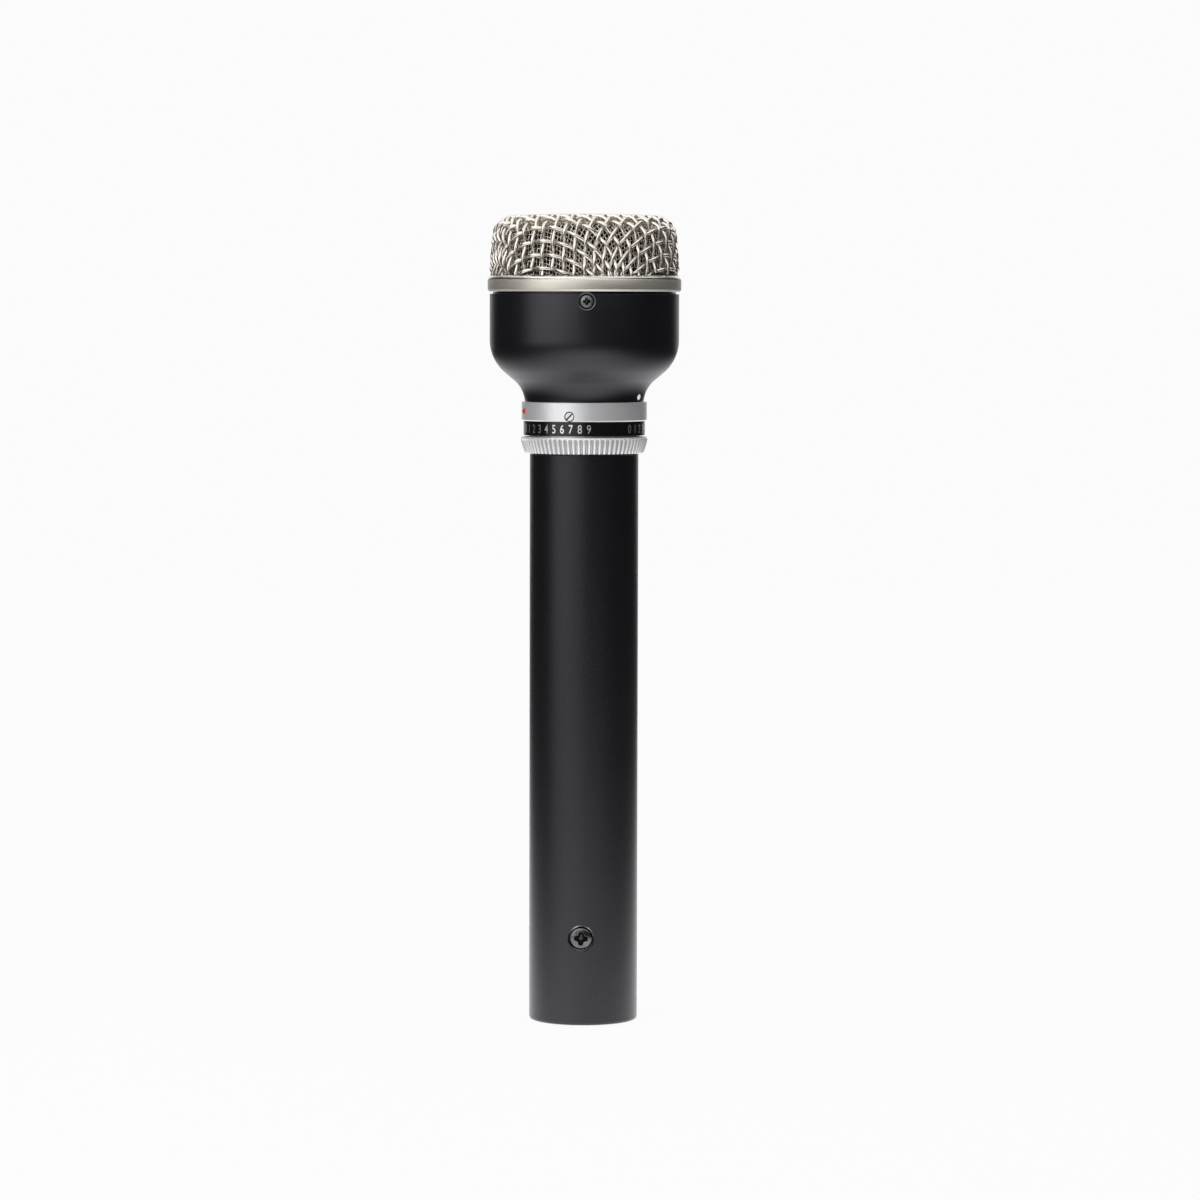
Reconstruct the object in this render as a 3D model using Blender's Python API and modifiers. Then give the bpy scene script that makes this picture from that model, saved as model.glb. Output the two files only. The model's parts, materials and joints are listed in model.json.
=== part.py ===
"""End-address ribbon microphone with a bass-cut collar, modelled at real size.

Frame: metres, +Z up along the microphone's axis, origin at the centre of the handle's lower
end, -Y towards the side that carries the connector screw. An azimuth is measured from that
side (-Y) towards +X. Every sub-part is one named object and one closed solid.
"""

import math

import bmesh
import bpy
from mathutils import Vector

MM = 0.001

# Driving dimensions.
GAP = 0.15 * MM                 # between pieces that touch on the real object
TUBE_RADIUS = 11.8 * MM
TUBE_BORE = 9.9 * MM
TUBE_TOP = 123.45 * MM
COLLAR_BOTTOM = 123.7 * MM
BAND_BOTTOM = 127.5 * MM
BAND_TOP = 130.7 * MM
COLLAR_TOP = 135.1 * MM
COLLAR_RADIUS = 13.6 * MM
BAND_RADIUS = 13.2 * MM
GRIP_RADIUS = 13.75 * MM
GRIP_FOOT_RADIUS = 12.75 * MM
GRIP_TEETH = 72
NECK_RADIUS = 12.9 * MM
NECK_BORE = 11.0 * MM
HOUSING_BOTTOM = 135.35 * MM
HOUSING_TOP = 158.15 * MM
HOUSING_RADIUS = 20.55 * MM
HOUSING_WALL = 1.5 * MM
BOWL_ARC_Z = 148.2 * MM         # where the straight wall turns into the bowl
BOWL_ARC_RADIUS = 9.3 * MM
NECK_ARC_Z = 134.4 * MM         # where the neck's arc would turn upright
NECK_ARC_RADIUS = 6.5 * MM
RING_BOTTOM = 158.45 * MM
RING_TOP = 162.1 * MM
RING_RADIUS = 21.0 * MM
RING_LIP_RADIUS = 20.6 * MM
RING_BORE = 20.4 * MM
MESH_SEAT = 160.0 * MM          # shelf inside the ring that the meshes stand on
GRILLE_TOP = 175.5 * MM
GRILLE_WALL_RADIUS = 20.55 * MM  # just above the ring
GRILLE_SHOULDER_RADIUS = 3.6 * MM
SLEEVE_RADIUS = 10.9 * MM
SLEEVE_BORE = 9.6 * MM

# Azimuths of what shows on the outside, in degrees.
XLR_SCREW_AZIMUTH = -2.2
HEAD_SCREW_AZIMUTH = 1.5
DRIVE_SCREW_AZIMUTH = -13.5
RED_DOT_AZIMUTH = -70.0
WHITE_DOT_AZIMUTH = 67.0
COLLAR_TURN_BACK = 34.0         # from rest to the full-cut stop
COLLAR_TURN_ON = 137.0          # from rest until the red dot meets the white one

# Facets of a full turn.
MAIN = 40
INNER = 24
SMALL = 12


def start():
    for old in list(bpy.data.objects):
        bpy.data.objects.remove(old, do_unlink=True)
    made = []
    for name in ("ribbon_microphone", "cutters"):
        group = bpy.data.collections.new(name)
        bpy.context.scene.collection.children.link(group)
        made.append(group)
    return made


PARTS, CUTTERS = start()
PALETTE = {
    "black_paint": ((0.012, 0.012, 0.014), 0.45, 0.0),
    "champagne_nickel": ((0.60, 0.57, 0.50), 0.30, 1.0),
    "silver": ((0.75, 0.76, 0.78), 0.28, 1.0),
    "black_band": ((0.01, 0.01, 0.01), 0.35, 0.0),
    "black_screw": ((0.03, 0.03, 0.03), 0.25, 1.0),
    "bright_steel": ((0.62, 0.62, 0.62), 0.30, 1.0),
    "dark_steel": ((0.20, 0.20, 0.21), 0.40, 1.0),
    "brass": ((0.70, 0.52, 0.24), 0.35, 1.0),
    "foil": ((0.88, 0.89, 0.90), 0.20, 1.0),
    "black_plastic": ((0.02, 0.02, 0.02), 0.50, 0.0),
    "rubber": ((0.03, 0.03, 0.03), 0.80, 0.0),
    "cloth": ((0.02, 0.02, 0.02), 0.95, 0.0),
    "felt": ((0.28, 0.27, 0.25), 0.95, 0.0),
    "circuit_board": ((0.02, 0.16, 0.07), 0.45, 0.0),
    "copper": ((0.60, 0.28, 0.14), 0.40, 1.0),
    "film_red": ((0.45, 0.04, 0.03), 0.40, 0.0),
    "lead_jacket": ((0.55, 0.55, 0.53), 0.55, 0.0),
    "red_paint": ((0.70, 0.03, 0.05), 0.40, 0.0),
    "white_paint": ((0.85, 0.85, 0.83), 0.40, 0.0),
}


def material(name):
    if name in bpy.data.materials:
        return bpy.data.materials[name]
    colour, roughness, metallic = PALETTE[name]
    made = bpy.data.materials.new(name)
    made.use_nodes = True
    shader = made.node_tree.nodes["Principled BSDF"]
    shader.inputs["Base Color"].default_value = (*colour, 1)
    shader.inputs["Roughness"].default_value = roughness
    shader.inputs["Metallic"].default_value = metallic
    return made


def outward(azimuth):
    """Unit vector that points straight out of the microphone at an azimuth in degrees."""
    a = math.radians(azimuth)
    return Vector((math.sin(a), -math.cos(a), 0))


# Making objects.

def add(name, data, finish, group=None):
    made = bpy.data.objects.new(name, data)
    (group or PARTS).objects.link(made)
    if finish:
        data.materials.append(material(finish))
    return made


def as_cutter(obj):
    obj.hide_render = True
    obj.display_type = "WIRE"
    return obj


def arc(centre_r, centre_z, radius, start, end, steps):
    """Points on a circle in the (r, z) half plane, angles from +r towards +z in radians."""
    return [
        (
            centre_r + radius * math.cos(start + (end - start) * i / steps),
            centre_z + radius * math.sin(start + (end - start) * i / steps),
        )
        for i in range(steps + 1)
    ]


def turned(name, profile, finish, facets=INNER, group=None):
    """A profile of (r, z) points turned about Z. It runs down the outer side, and it is closed
    into a ring unless it starts and ends on the axis."""
    on_axis = profile[0][0] == 0 and profile[-1][0] == 0
    count = len(profile)
    edges = [(i, i + 1) for i in range(count - 1)]
    if not on_axis:
        edges.append((count - 1, 0))
    data = bpy.data.meshes.new(name)
    data.from_pydata([(r, 0, z) for r, z in profile], edges, [])
    made = add(name, data, finish, group)
    spin = made.modifiers.new("turn", "SCREW")
    spin.axis = "Z"
    spin.steps = spin.render_steps = facets
    spin.use_merge_vertices = True
    spin.merge_threshold = 1e-6
    spin.use_smooth_shade = True
    return made


def ring(name, inner, outer, bottom, top, finish, facets=INNER, group=None):
    profile = [(outer, top), (outer, bottom), (inner, bottom), (inner, top)]
    return turned(name, profile, finish, facets, group)


def disc(name, radius, bottom, top, finish, facets=INNER, group=None):
    profile = [(0, top), (radius, top), (radius, bottom), (0, bottom)]
    return turned(name, profile, finish, facets, group)


def box(name, low, high, finish=None, group=None):
    """A box between two corners, in world axes."""
    mesh = bmesh.new()
    bmesh.ops.create_cube(mesh, size=1)
    low, high = Vector(low), Vector(high)
    middle, size = (low + high) / 2, high - low
    for vertex in mesh.verts:
        vertex.co = Vector(c * s for c, s in zip(vertex.co, size))
    data = bpy.data.meshes.new(name)
    mesh.to_mesh(data)
    mesh.free()
    made = add(name, data, finish, group)
    made.location = middle
    return made


def plate(name, outline, thickness, finish, group=None):
    """A flat outline of (x, y) points, extruded by the thickness about its own plane."""
    data = bpy.data.curves.new(name, "CURVE")
    data.dimensions = "2D"
    data.fill_mode = "BOTH"
    data.extrude = thickness / 2
    spline = data.splines.new("POLY")
    spline.points.add(len(outline) - 1)
    for point, (x, y) in zip(spline.points, outline):
        point.co = (x, y, 0, 1)
    spline.use_cyclic_u = True
    return add(name, data, finish, group)


def meshed(curve):
    """The same object as a mesh with its caps welded, so that Booleans can work on it."""
    bpy.context.view_layer.update()
    evaluated = curve.evaluated_get(bpy.context.evaluated_depsgraph_get())
    data = bpy.data.meshes.new_from_object(evaluated)
    mesh = bmesh.new()
    mesh.from_mesh(data)
    bmesh.ops.remove_doubles(mesh, verts=mesh.verts, dist=1e-7)
    bmesh.ops.recalc_face_normals(mesh, faces=mesh.faces)
    mesh.to_mesh(data)
    mesh.free()
    name, place = curve.name, curve.matrix_world.copy()
    group = curve.users_collection[0]
    bpy.data.objects.remove(curve, do_unlink=True)
    made = bpy.data.objects.new(name, data)
    group.objects.link(made)
    made.matrix_world = place
    return made


def boolean(obj, operation, other):
    step = obj.modifiers.new(operation.lower(), "BOOLEAN")
    step.operation = operation
    step.object = other
    step.solver = "EXACT"


def cut(obj, *cutters):
    for cutter in cutters:
        boolean(obj, "DIFFERENCE", as_cutter(cutter))


def hole(name, radius, start, end, facets=SMALL):
    """A cylindrical cutter between two points."""
    start, end = Vector(start), Vector(end)
    mesh = bmesh.new()
    bmesh.ops.create_cone(
        mesh, cap_ends=True, segments=facets, radius1=radius, radius2=radius,
        depth=(end - start).length,
    )
    data = bpy.data.meshes.new(name)
    mesh.to_mesh(data)
    mesh.free()
    made = add(name, data, None, CUTTERS)
    made.location = (start + end) / 2
    made.rotation_euler = (end - start).to_track_quat("Z", "Y").to_euler()
    return made


def radial_hole(name, radius, azimuth, height, inner, outer):
    """A cylindrical cutter that runs straight out of the microphone."""
    along = outward(azimuth)
    lift = Vector((0, 0, height))
    return hole(name, radius, along * inner + lift, along * outer + lift)


def stand_out(obj, azimuth, height, radius):
    """Turns an object's own +Z outwards and sets its origin that far from the axis."""
    along = outward(azimuth)
    obj.rotation_euler = along.to_track_quat("Z", "Y").to_euler()
    obj.location = along * radius + Vector((0, 0, height))


def screw(name, head_radius, head_height, shank_radius, shank_length, finish):
    """A domed screw head on +Z from the origin up, with its shank below."""
    dome = head_height * 0.35
    profile = [
        (0, head_height),
        (head_radius * 0.6, head_height - dome * 0.3),
        (head_radius, head_height - dome),
        (head_radius, 0),
        (shank_radius, 0),
        (shank_radius, -shank_length + shank_radius * 0.5),
        (shank_radius * 0.5, -shank_length),
        (0, -shank_length),
    ]
    return turned(name, profile, finish, SMALL)


def recess(driver, length, width, depth, top, turn=0.0, crossed=True):
    """Cuts a cross or a slot into the top of a screw head."""
    for i in range(2 if crossed else 1):
        half_x, half_y = length / 2, width / 2
        slot = box(
            f"{driver.name}_slot_{i}",
            (-half_x, -half_y, top - depth),
            (half_x, half_y, top + depth),
            group=CUTTERS,
        )
        slot.parent = driver
        slot.rotation_euler = (0, 0, turn + i * math.pi / 2)
        cut(driver, slot)


def smooth_route(points, spacing):
    """Points every spacing along a Catmull-Rom curve through the given ones."""
    points = [Vector(p) for p in points]
    points = [2 * points[0] - points[1], *points, 2 * points[-1] - points[-2]]
    fine = []
    for a, b, c, d in zip(points, points[1:], points[2:], points[3:]):
        for i in range(24):
            t = i / 24
            fine.append(
                0.5 * (2 * b + (c - a) * t + (2 * a - 5 * b + 4 * c - d) * t * t
                       + (3 * b - a - 3 * c + d) * t ** 3)
            )
    fine.append(points[-2])
    route, walked = [fine[0]], 0.0
    for here, there in zip(fine, fine[1:]):
        walked += (there - here).length
        if walked >= spacing:
            route.append(there)
            walked = 0.0
    route[-1] = fine[-1]
    return route


def lead(name, points, radius, finish="lead_jacket"):
    """A thin insulated lead along its route."""
    data = bpy.data.curves.new(name, "CURVE")
    data.dimensions = "3D"
    data.bevel_depth = radius
    data.bevel_resolution = 2
    data.use_fill_caps = True
    route = smooth_route(points, radius * 5)
    spline = data.splines.new("POLY")
    spline.points.add(len(route) - 1)
    for point, place in zip(spline.points, route):
        point.co = (*place, 1)
    return add(name, data, finish)


# Handle and connector.

SOCKET_RADIUS = 8.2 * MM
SHELL_BOTTOM = 0.8 * MM
SHELL_TOP = 27.0 * MM
INSERT_BOTTOM = 15.5 * MM
INSERT_TOP = 25.0 * MM
XLR_SCREW_Z = 18.9 * MM
PIN_RADIUS = 1.19 * MM
PIN_CIRCLE = 4.3 * MM
PIN_AZIMUTHS = (-60, 60, 180)
PIN_TIPS = (2.6 * MM, 3.1 * MM, 3.1 * MM)   # the earth pin is longer and mates first


def make_handle_tube():
    foot, rim = 0.8 * MM, 0.3 * MM
    profile = [
        (TUBE_RADIUS - rim, TUBE_TOP),
        (TUBE_RADIUS, TUBE_TOP - rim),
        *arc(TUBE_RADIUS - foot, foot, foot, 0, -math.pi / 2, 3),
        (TUBE_BORE + rim, 0),
        (TUBE_BORE, rim),
        (TUBE_BORE, TUBE_TOP),
    ]
    tube = turned("handle_tube", profile, "black_paint", MAIN)
    cut(tube, radial_hole(
        "tube_screw_hole", 2.8 * MM, XLR_SCREW_AZIMUTH, XLR_SCREW_Z, 7 * MM, 14 * MM,
    ))


def make_connector():
    shell_radius = TUBE_BORE - 1.5 * GAP
    shell = ring(
        "xlr_shell", SOCKET_RADIUS, shell_radius, SHELL_BOTTOM, SHELL_TOP, "bright_steel", MAIN,
    )
    window = box(
        "latch_window", (-2 * MM, 7 * MM, 4 * MM), (2 * MM, 11 * MM, 7 * MM), group=CUTTERS,
    )
    tapped = radial_hole(
        "shell_tapped_hole", 1.25 * MM, XLR_SCREW_AZIMUTH, XLR_SCREW_Z, 6.8 * MM, 12 * MM,
    )
    cut(shell, window, tapped)

    insert = disc(
        "xlr_insert", SOCKET_RADIUS - 1.5 * GAP, INSERT_BOTTOM, INSERT_TOP, "black_plastic", MAIN,
    )
    cut(insert, radial_hole(
        "insert_screw_hole", 1.4 * MM, XLR_SCREW_AZIMUTH, XLR_SCREW_Z, 6.0 * MM, 12 * MM,
    ))
    for number, (azimuth, tip) in enumerate(zip(PIN_AZIMUTHS, PIN_TIPS), 1):
        place = outward(azimuth) * PIN_CIRCLE
        cut(insert, hole(
            f"pin_hole_{number}", PIN_RADIUS + GAP,
            place + Vector((0, 0, INSERT_BOTTOM - 2 * MM)),
            place + Vector((0, 0, INSERT_TOP + 2 * MM)),
        ))
        make_pin(number, place, tip)

    driver = screw("xlr_screw", 2.5 * MM, 1.6 * MM, 1.1 * MM, 3.3 * MM, "black_screw")
    recess(driver, 2.9 * MM, 0.75 * MM, 0.9 * MM, 1.6 * MM)
    stand_out(driver, XLR_SCREW_AZIMUTH, XLR_SCREW_Z, shell_radius + GAP)


def make_pin(number, place, tip):
    cup_floor, cup_top, cup_radius = 26.6 * MM, 29.0 * MM, 0.75 * MM
    nose = 0.9 * MM
    profile = [
        (0, cup_floor),
        (cup_radius, cup_floor),
        (cup_radius, cup_top),
        (PIN_RADIUS, cup_top),
        *arc(PIN_RADIUS - nose, tip + nose, nose, 0, -math.pi / 2, 3),
        (0, tip),
    ]
    pin = turned(f"xlr_pin_{number}", profile, "bright_steel", SMALL)
    pin.location = place


# Filter board and transformer, inside the handle.

BOARD_BOTTOM = 38.0 * MM
BOARD_TOP = 76.0 * MM
BOARD_HALF_WIDTH = 6.5 * MM
BOARD_HALF_THICKNESS = 0.6 * MM
CAN_BOTTOM = 82.0 * MM
CAN_TOP = 106.0 * MM
CAN_RADIUS = 8.2 * MM
CAN_WALL = 0.6 * MM


def make_filter():
    half_x, half_y = BOARD_HALF_WIDTH, BOARD_HALF_THICKNESS
    box(
        "filter_board", (-half_x, -half_y, BOARD_BOTTOM), (half_x, half_y, BOARD_TOP),
        "circuit_board",
    )
    holder_bottom = 42.0 * MM
    holder = disc(
        "board_holder", TUBE_BORE - 2 * GAP, holder_bottom, holder_bottom + 3 * MM,
        "black_plastic",
    )
    slot = box(
        "board_slot",
        (-half_x - GAP, -half_y - GAP, holder_bottom - MM),
        (half_x + GAP, half_y + GAP, holder_bottom + 4 * MM),
        group=CUTTERS,
    )
    cut(holder, slot)

    flange, core, choke_bottom, choke_top = 3.2 * MM, 2.2 * MM, 56 * MM, 64 * MM
    lip = 1.0 * MM
    choke = turned("filter_choke", [
        (0, choke_top),
        (flange, choke_top),
        (flange, choke_top - lip),
        (core, choke_top - lip),
        (core, choke_bottom + lip),
        (flange, choke_bottom + lip),
        (flange, choke_bottom),
        (0, choke_bottom),
    ], "dark_steel", SMALL)
    choke.location.y = -(half_y + GAP + flange)
    box(
        "filter_capacitor",
        (-3.6 * MM, half_y + GAP, 58 * MM), (3.6 * MM, half_y + 3.4 * MM, 67 * MM),
        "film_red",
    )


def make_transformer():
    inner = CAN_RADIUS - CAN_WALL
    lead_exit = 1.6 * MM
    turned("transformer_can", [
        (CAN_RADIUS, CAN_TOP),
        (CAN_RADIUS, CAN_BOTTOM),
        (lead_exit, CAN_BOTTOM),
        (lead_exit, CAN_BOTTOM + CAN_WALL),
        (inner, CAN_BOTTOM + CAN_WALL),
        (inner, CAN_TOP),
    ], "dark_steel")
    bush = ring(
        "transformer_bush", CAN_RADIUS + GAP, TUBE_BORE - 1.5 * GAP, 88 * MM, 100 * MM, "rubber",
    )
    cut(bush, box(
        "bush_lead_notch", (-1.0 * MM, 7 * MM, 86 * MM), (1.0 * MM, 11 * MM, 102 * MM),
        group=CUTTERS,
    ))

    middle = 93.5 * MM
    leg, window, limb, depth = 2.0 * MM, 2.9 * MM, 1.5 * MM, 3.0 * MM
    yoke, half_window = 1.8 * MM, 5.0 * MM
    half_x = leg + window + limb
    core = box(
        "transformer_core",
        (-half_x, -depth, middle - half_window - yoke),
        (half_x, depth, middle + half_window + yoke),
        "dark_steel",
    )
    for side in (-1, 1):
        inner_x, outer_x = side * leg, side * (leg + window)
        cut(core, box(
            f"core_window_{side}",
            (min(inner_x, outer_x), -2 * depth, middle - half_window),
            (max(inner_x, outer_x), 2 * depth, middle + half_window),
            group=CUTTERS,
        ))
    wound_x, wound_y = leg + window - GAP, 5.3 * MM
    wound_z = half_window - 2 * GAP
    coil = box(
        "transformer_coil",
        (-wound_x, -wound_y, middle - wound_z), (wound_x, wound_y, middle + wound_z),
        "copper",
    )
    cut(coil, box(
        "coil_bore",
        (-leg - GAP, -depth - GAP, middle - 8 * MM), (leg + GAP, depth + GAP, middle + 8 * MM),
        group=CUTTERS,
    ))


# Neck sleeve and what turns inside it.

LEDGE_Z = 126.7 * MM
DRIVE_SCREW_Z = 131.8 * MM
TRACK_TOP = 128.2 * MM
CARRIER_RADIUS = 9.35 * MM
CARRIER_BORE = 8.2 * MM
CARRIER_BOTTOM = 129.6 * MM
CARRIER_TOP = 133.6 * MM
SLEEVE_TOP = 140.8 * MM


def make_neck_sleeve():
    spigot, spigot_bottom = TUBE_BORE - GAP, 112.0 * MM
    ledge_bore = 8.9 * MM
    groove, groove_low, groove_high = 10.0 * MM, 124.5 * MM, 125.5 * MM
    sleeve = turned("neck_sleeve", [
        (SLEEVE_RADIUS, SLEEVE_TOP),
        (SLEEVE_RADIUS, groove_high),
        (groove, groove_high),
        (groove, groove_low),
        (SLEEVE_RADIUS, groove_low),
        (SLEEVE_RADIUS, TUBE_TOP + GAP),
        (spigot, TUBE_TOP + GAP),
        (spigot, spigot_bottom),
        (ledge_bore, spigot_bottom),
        (ledge_bore, LEDGE_Z),
        (SLEEVE_BORE, LEDGE_Z),
        (SLEEVE_BORE, SLEEVE_TOP),
    ], "dark_steel", MAIN)
    cut(sleeve, make_drive_slot_cutter())
    turned(
        "friction_o_ring",
        arc(10.5 * MM, 125.0 * MM, 0.42 * MM, math.pi / 2, -1.25 * math.pi, 7),
        "rubber", INNER,
    )


def make_drive_slot_cutter():
    """Clears the sleeve's wall over the collar's turn, with room for the screw at both stops."""
    half_height, past_stop, reach = 1.35 * MM, math.radians(9), 20 * MM
    middle = DRIVE_SCREW_AZIMUTH + (COLLAR_TURN_ON - COLLAR_TURN_BACK) / 2
    half_turn = math.radians((COLLAR_TURN_ON + COLLAR_TURN_BACK) / 2) + past_stop
    near_side = SLEEVE_RADIUS * math.cos(half_turn)
    cutter = box(
        "drive_slot", (-reach, near_side, -half_height), (reach, reach, half_height),
        group=CUTTERS,
    )
    cutter.location = outward(middle) * cutter.location.y + Vector((0, 0, DRIVE_SCREW_Z))
    cutter.rotation_euler = (0, 0, math.radians(middle) + math.pi)
    return cutter


def make_selector():
    track_inner, track_outer = 6.2 * MM, 9.4 * MM
    ring("track_board", track_inner, track_outer, LEDGE_Z + GAP, TRACK_TOP, "circuit_board")
    carrier = ring(
        "wiper_carrier", CARRIER_BORE, CARRIER_RADIUS, CARRIER_BOTTOM, CARRIER_TOP,
        "black_plastic", MAIN,
    )
    cut(carrier, radial_hole(
        "carrier_screw_hole", DRIVE_SHANK_RADIUS + GAP, DRIVE_SCREW_AZIMUTH, DRIVE_SCREW_Z,
        CARRIER_BORE - 2 * MM, CARRIER_RADIUS + 2 * MM,
    ))
    for number, azimuth in enumerate((100, 280), 1):
        make_wiper_finger(number, azimuth)
    snap = ring(
        "carrier_snap_ring", 8.4 * MM, SLEEVE_BORE - 1.5 * GAP,
        CARRIER_TOP + 1.5 * GAP, CARRIER_TOP + 1.0 * MM, "bright_steel",
    )
    cut(snap, box(
        "snap_gap", (-1.5 * MM, 5 * MM, 130 * MM), (1.5 * MM, 12 * MM, 138 * MM), group=CUTTERS,
    ))


def make_wiper_finger(number, azimuth):
    """A bent leaf under the carrier, its tip just above the track."""
    thick, half_length, drop = 0.2 * MM, 2.0 * MM, CARRIER_BOTTOM - TRACK_TOP - 2 * GAP
    upper = [(-half_length, 0), (-0.4 * MM, 0), (1.2 * MM, thick - drop), (half_length, -0.5 * drop)]
    lower = [(x, y - thick) for x, y in upper]
    leaf = plate(f"wiper_finger_{number}", upper + lower[::-1], 0.8 * MM, "brass")
    along = outward(azimuth)
    leaf.location = along * 8.65 * MM + Vector((0, 0, CARRIER_BOTTOM - GAP))
    leaf.rotation_euler = (math.pi / 2, 0, math.atan2(along.y, along.x) + math.pi / 2)


# The collar that the hand turns.

CORE_RADIUS = 11.9 * MM
CORE_BORE = 11.2 * MM
DRIVE_HEAD_RADIUS = 0.88 * MM
DRIVE_SHANK_RADIUS = 0.75 * MM
RED_DOT_Z = 132.8 * MM
WHITE_DOT_Z = 135.9 * MM


def make_collar():
    core = ring(
        "collar_core", CORE_BORE, CORE_RADIUS, COLLAR_BOTTOM, COLLAR_TOP, "silver", MAIN,
    )
    bore, edge = CORE_RADIUS + GAP, 0.2 * MM
    control = turned("control_ring", [
        (COLLAR_RADIUS - edge, COLLAR_TOP),
        (COLLAR_RADIUS, COLLAR_TOP - edge),
        (COLLAR_RADIUS, BAND_TOP + edge),
        (COLLAR_RADIUS - edge, BAND_TOP),
        (bore, BAND_TOP),
        (bore, COLLAR_TOP),
    ], "silver", MAIN)
    ring(
        "label_band", bore, BAND_RADIUS, BAND_BOTTOM + GAP / 2, BAND_TOP - GAP / 2,
        "black_band", MAIN,
    )
    make_grip_ring(bore)

    length, tip = 4.8 * MM, 0.4 * MM
    driver = turned("drive_screw", [
        (0, 0),
        (DRIVE_HEAD_RADIUS, 0),
        (DRIVE_HEAD_RADIUS, -0.9 * MM),
        (DRIVE_SHANK_RADIUS, -1.1 * MM),
        (DRIVE_SHANK_RADIUS, tip - length),
        (DRIVE_SHANK_RADIUS - tip, -length),
        (0, -length),
    ], "bright_steel", SMALL)
    recess(driver, 3 * MM, 0.35 * MM, 0.5 * MM, 0, math.radians(45), crossed=False)
    stand_out(driver, DRIVE_SCREW_AZIMUTH, DRIVE_SCREW_Z, COLLAR_RADIUS - GAP)
    for cored, radius in ((control, DRIVE_HEAD_RADIUS), (core, DRIVE_SHANK_RADIUS)):
        cut(cored, radial_hole(
            f"{cored.name}_screw_hole", radius + GAP, DRIVE_SCREW_AZIMUTH, DRIVE_SCREW_Z,
            CORE_BORE - 2 * MM, COLLAR_RADIUS + 2 * MM,
        ))
    inlay("red_index_dot", control, RED_DOT_AZIMUTH, RED_DOT_Z, COLLAR_RADIUS, "red_paint")


def inlay(name, host, azimuth, height, radius, finish):
    """A dot of paint in a shallow blind hole of its host."""
    dot_radius, depth, proud = 0.62 * MM, 0.35 * MM, 0.01 * MM
    dot = disc(name, dot_radius, -depth, proud, finish, SMALL)
    stand_out(dot, azimuth, height, radius)
    cut(host, radial_hole(
        f"{name}_hole", dot_radius + 0.6 * GAP, azimuth, height,
        radius - depth - 0.6 * GAP, radius + 3 * MM,
    ))


def make_grip_ring(bore):
    """A turned blank that tapers to the handle, kept only where a star of pointed teeth is."""
    depth, proud = 0.45 * MM, 0.05 * MM
    top = BAND_BOTTOM - GAP / 2
    blank = turned("grip_ring", [
        (GRIP_RADIUS - depth, top),
        (GRIP_RADIUS - depth, top - 0.3 * MM),
        (GRIP_RADIUS + proud, top - 0.7 * MM),
        (GRIP_RADIUS + proud, top - 1.5 * MM),
        (GRIP_RADIUS - 0.55 * MM, COLLAR_BOTTOM + 0.9 * MM),
        (GRIP_FOOT_RADIUS, COLLAR_BOTTOM),
        (bore, COLLAR_BOTTOM),
        (bore, top),
    ], "silver", GRIP_TEETH)
    points = []
    for i in range(2 * GRIP_TEETH):
        radius = GRIP_RADIUS - (depth - proud if i % 2 else 0)
        angle = math.pi * i / GRIP_TEETH
        points.append((radius * math.cos(angle), radius * math.sin(angle)))
    past_ends = 2 * MM
    star = plate("grip_star", points, top - COLLAR_BOTTOM + 2 * past_ends, None, CUTTERS)
    star.location.z = (top + COLLAR_BOTTOM) / 2
    boolean(blank, "INTERSECT", as_cutter(meshed(star)))


# Head housing.

def bowl_turn():
    """How far the bowl's arc and the neck's arc turn before the straight line between them."""
    inwards = NECK_RADIUS + NECK_ARC_RADIUS - (HOUSING_RADIUS - BOWL_ARC_RADIUS)
    down = BOWL_ARC_Z - NECK_ARC_Z
    between = math.hypot(inwards, down)
    return math.atan2(down, inwards) - math.acos((BOWL_ARC_RADIUS + NECK_ARC_RADIUS) / between)


def neck_radius(height):
    """The housing's outside radius on the neck's arc."""
    up = height - NECK_ARC_Z
    return NECK_RADIUS + NECK_ARC_RADIUS - math.sqrt(NECK_ARC_RADIUS ** 2 - up ** 2)


def bowl_outside():
    """From the housing's upper edge down its straight wall, round the bowl and into the neck."""
    edge, turn = 0.2 * MM, bowl_turn()
    lowest = math.pi - math.asin((HOUSING_BOTTOM - NECK_ARC_Z) / NECK_ARC_RADIUS)
    return [
        (HOUSING_RADIUS - edge, HOUSING_TOP),
        (HOUSING_RADIUS, HOUSING_TOP - edge),
        *arc(HOUSING_RADIUS - BOWL_ARC_RADIUS, BOWL_ARC_Z, BOWL_ARC_RADIUS, 0, -turn, 5),
        *arc(
            NECK_RADIUS + NECK_ARC_RADIUS, NECK_ARC_Z, NECK_ARC_RADIUS,
            math.pi - turn, lowest, 4,
        ),
    ]


HEAD_SCREW_Z = 156.4 * MM
HEAD_SCREW_FLOOR = 19.6 * MM    # radius of the flat that a head screw's counterbore ends on
SEAT_Z = 153.9 * MM
SEAT_BORE = 16.9 * MM
NECK_BORE_TOP = 141.0 * MM


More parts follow.
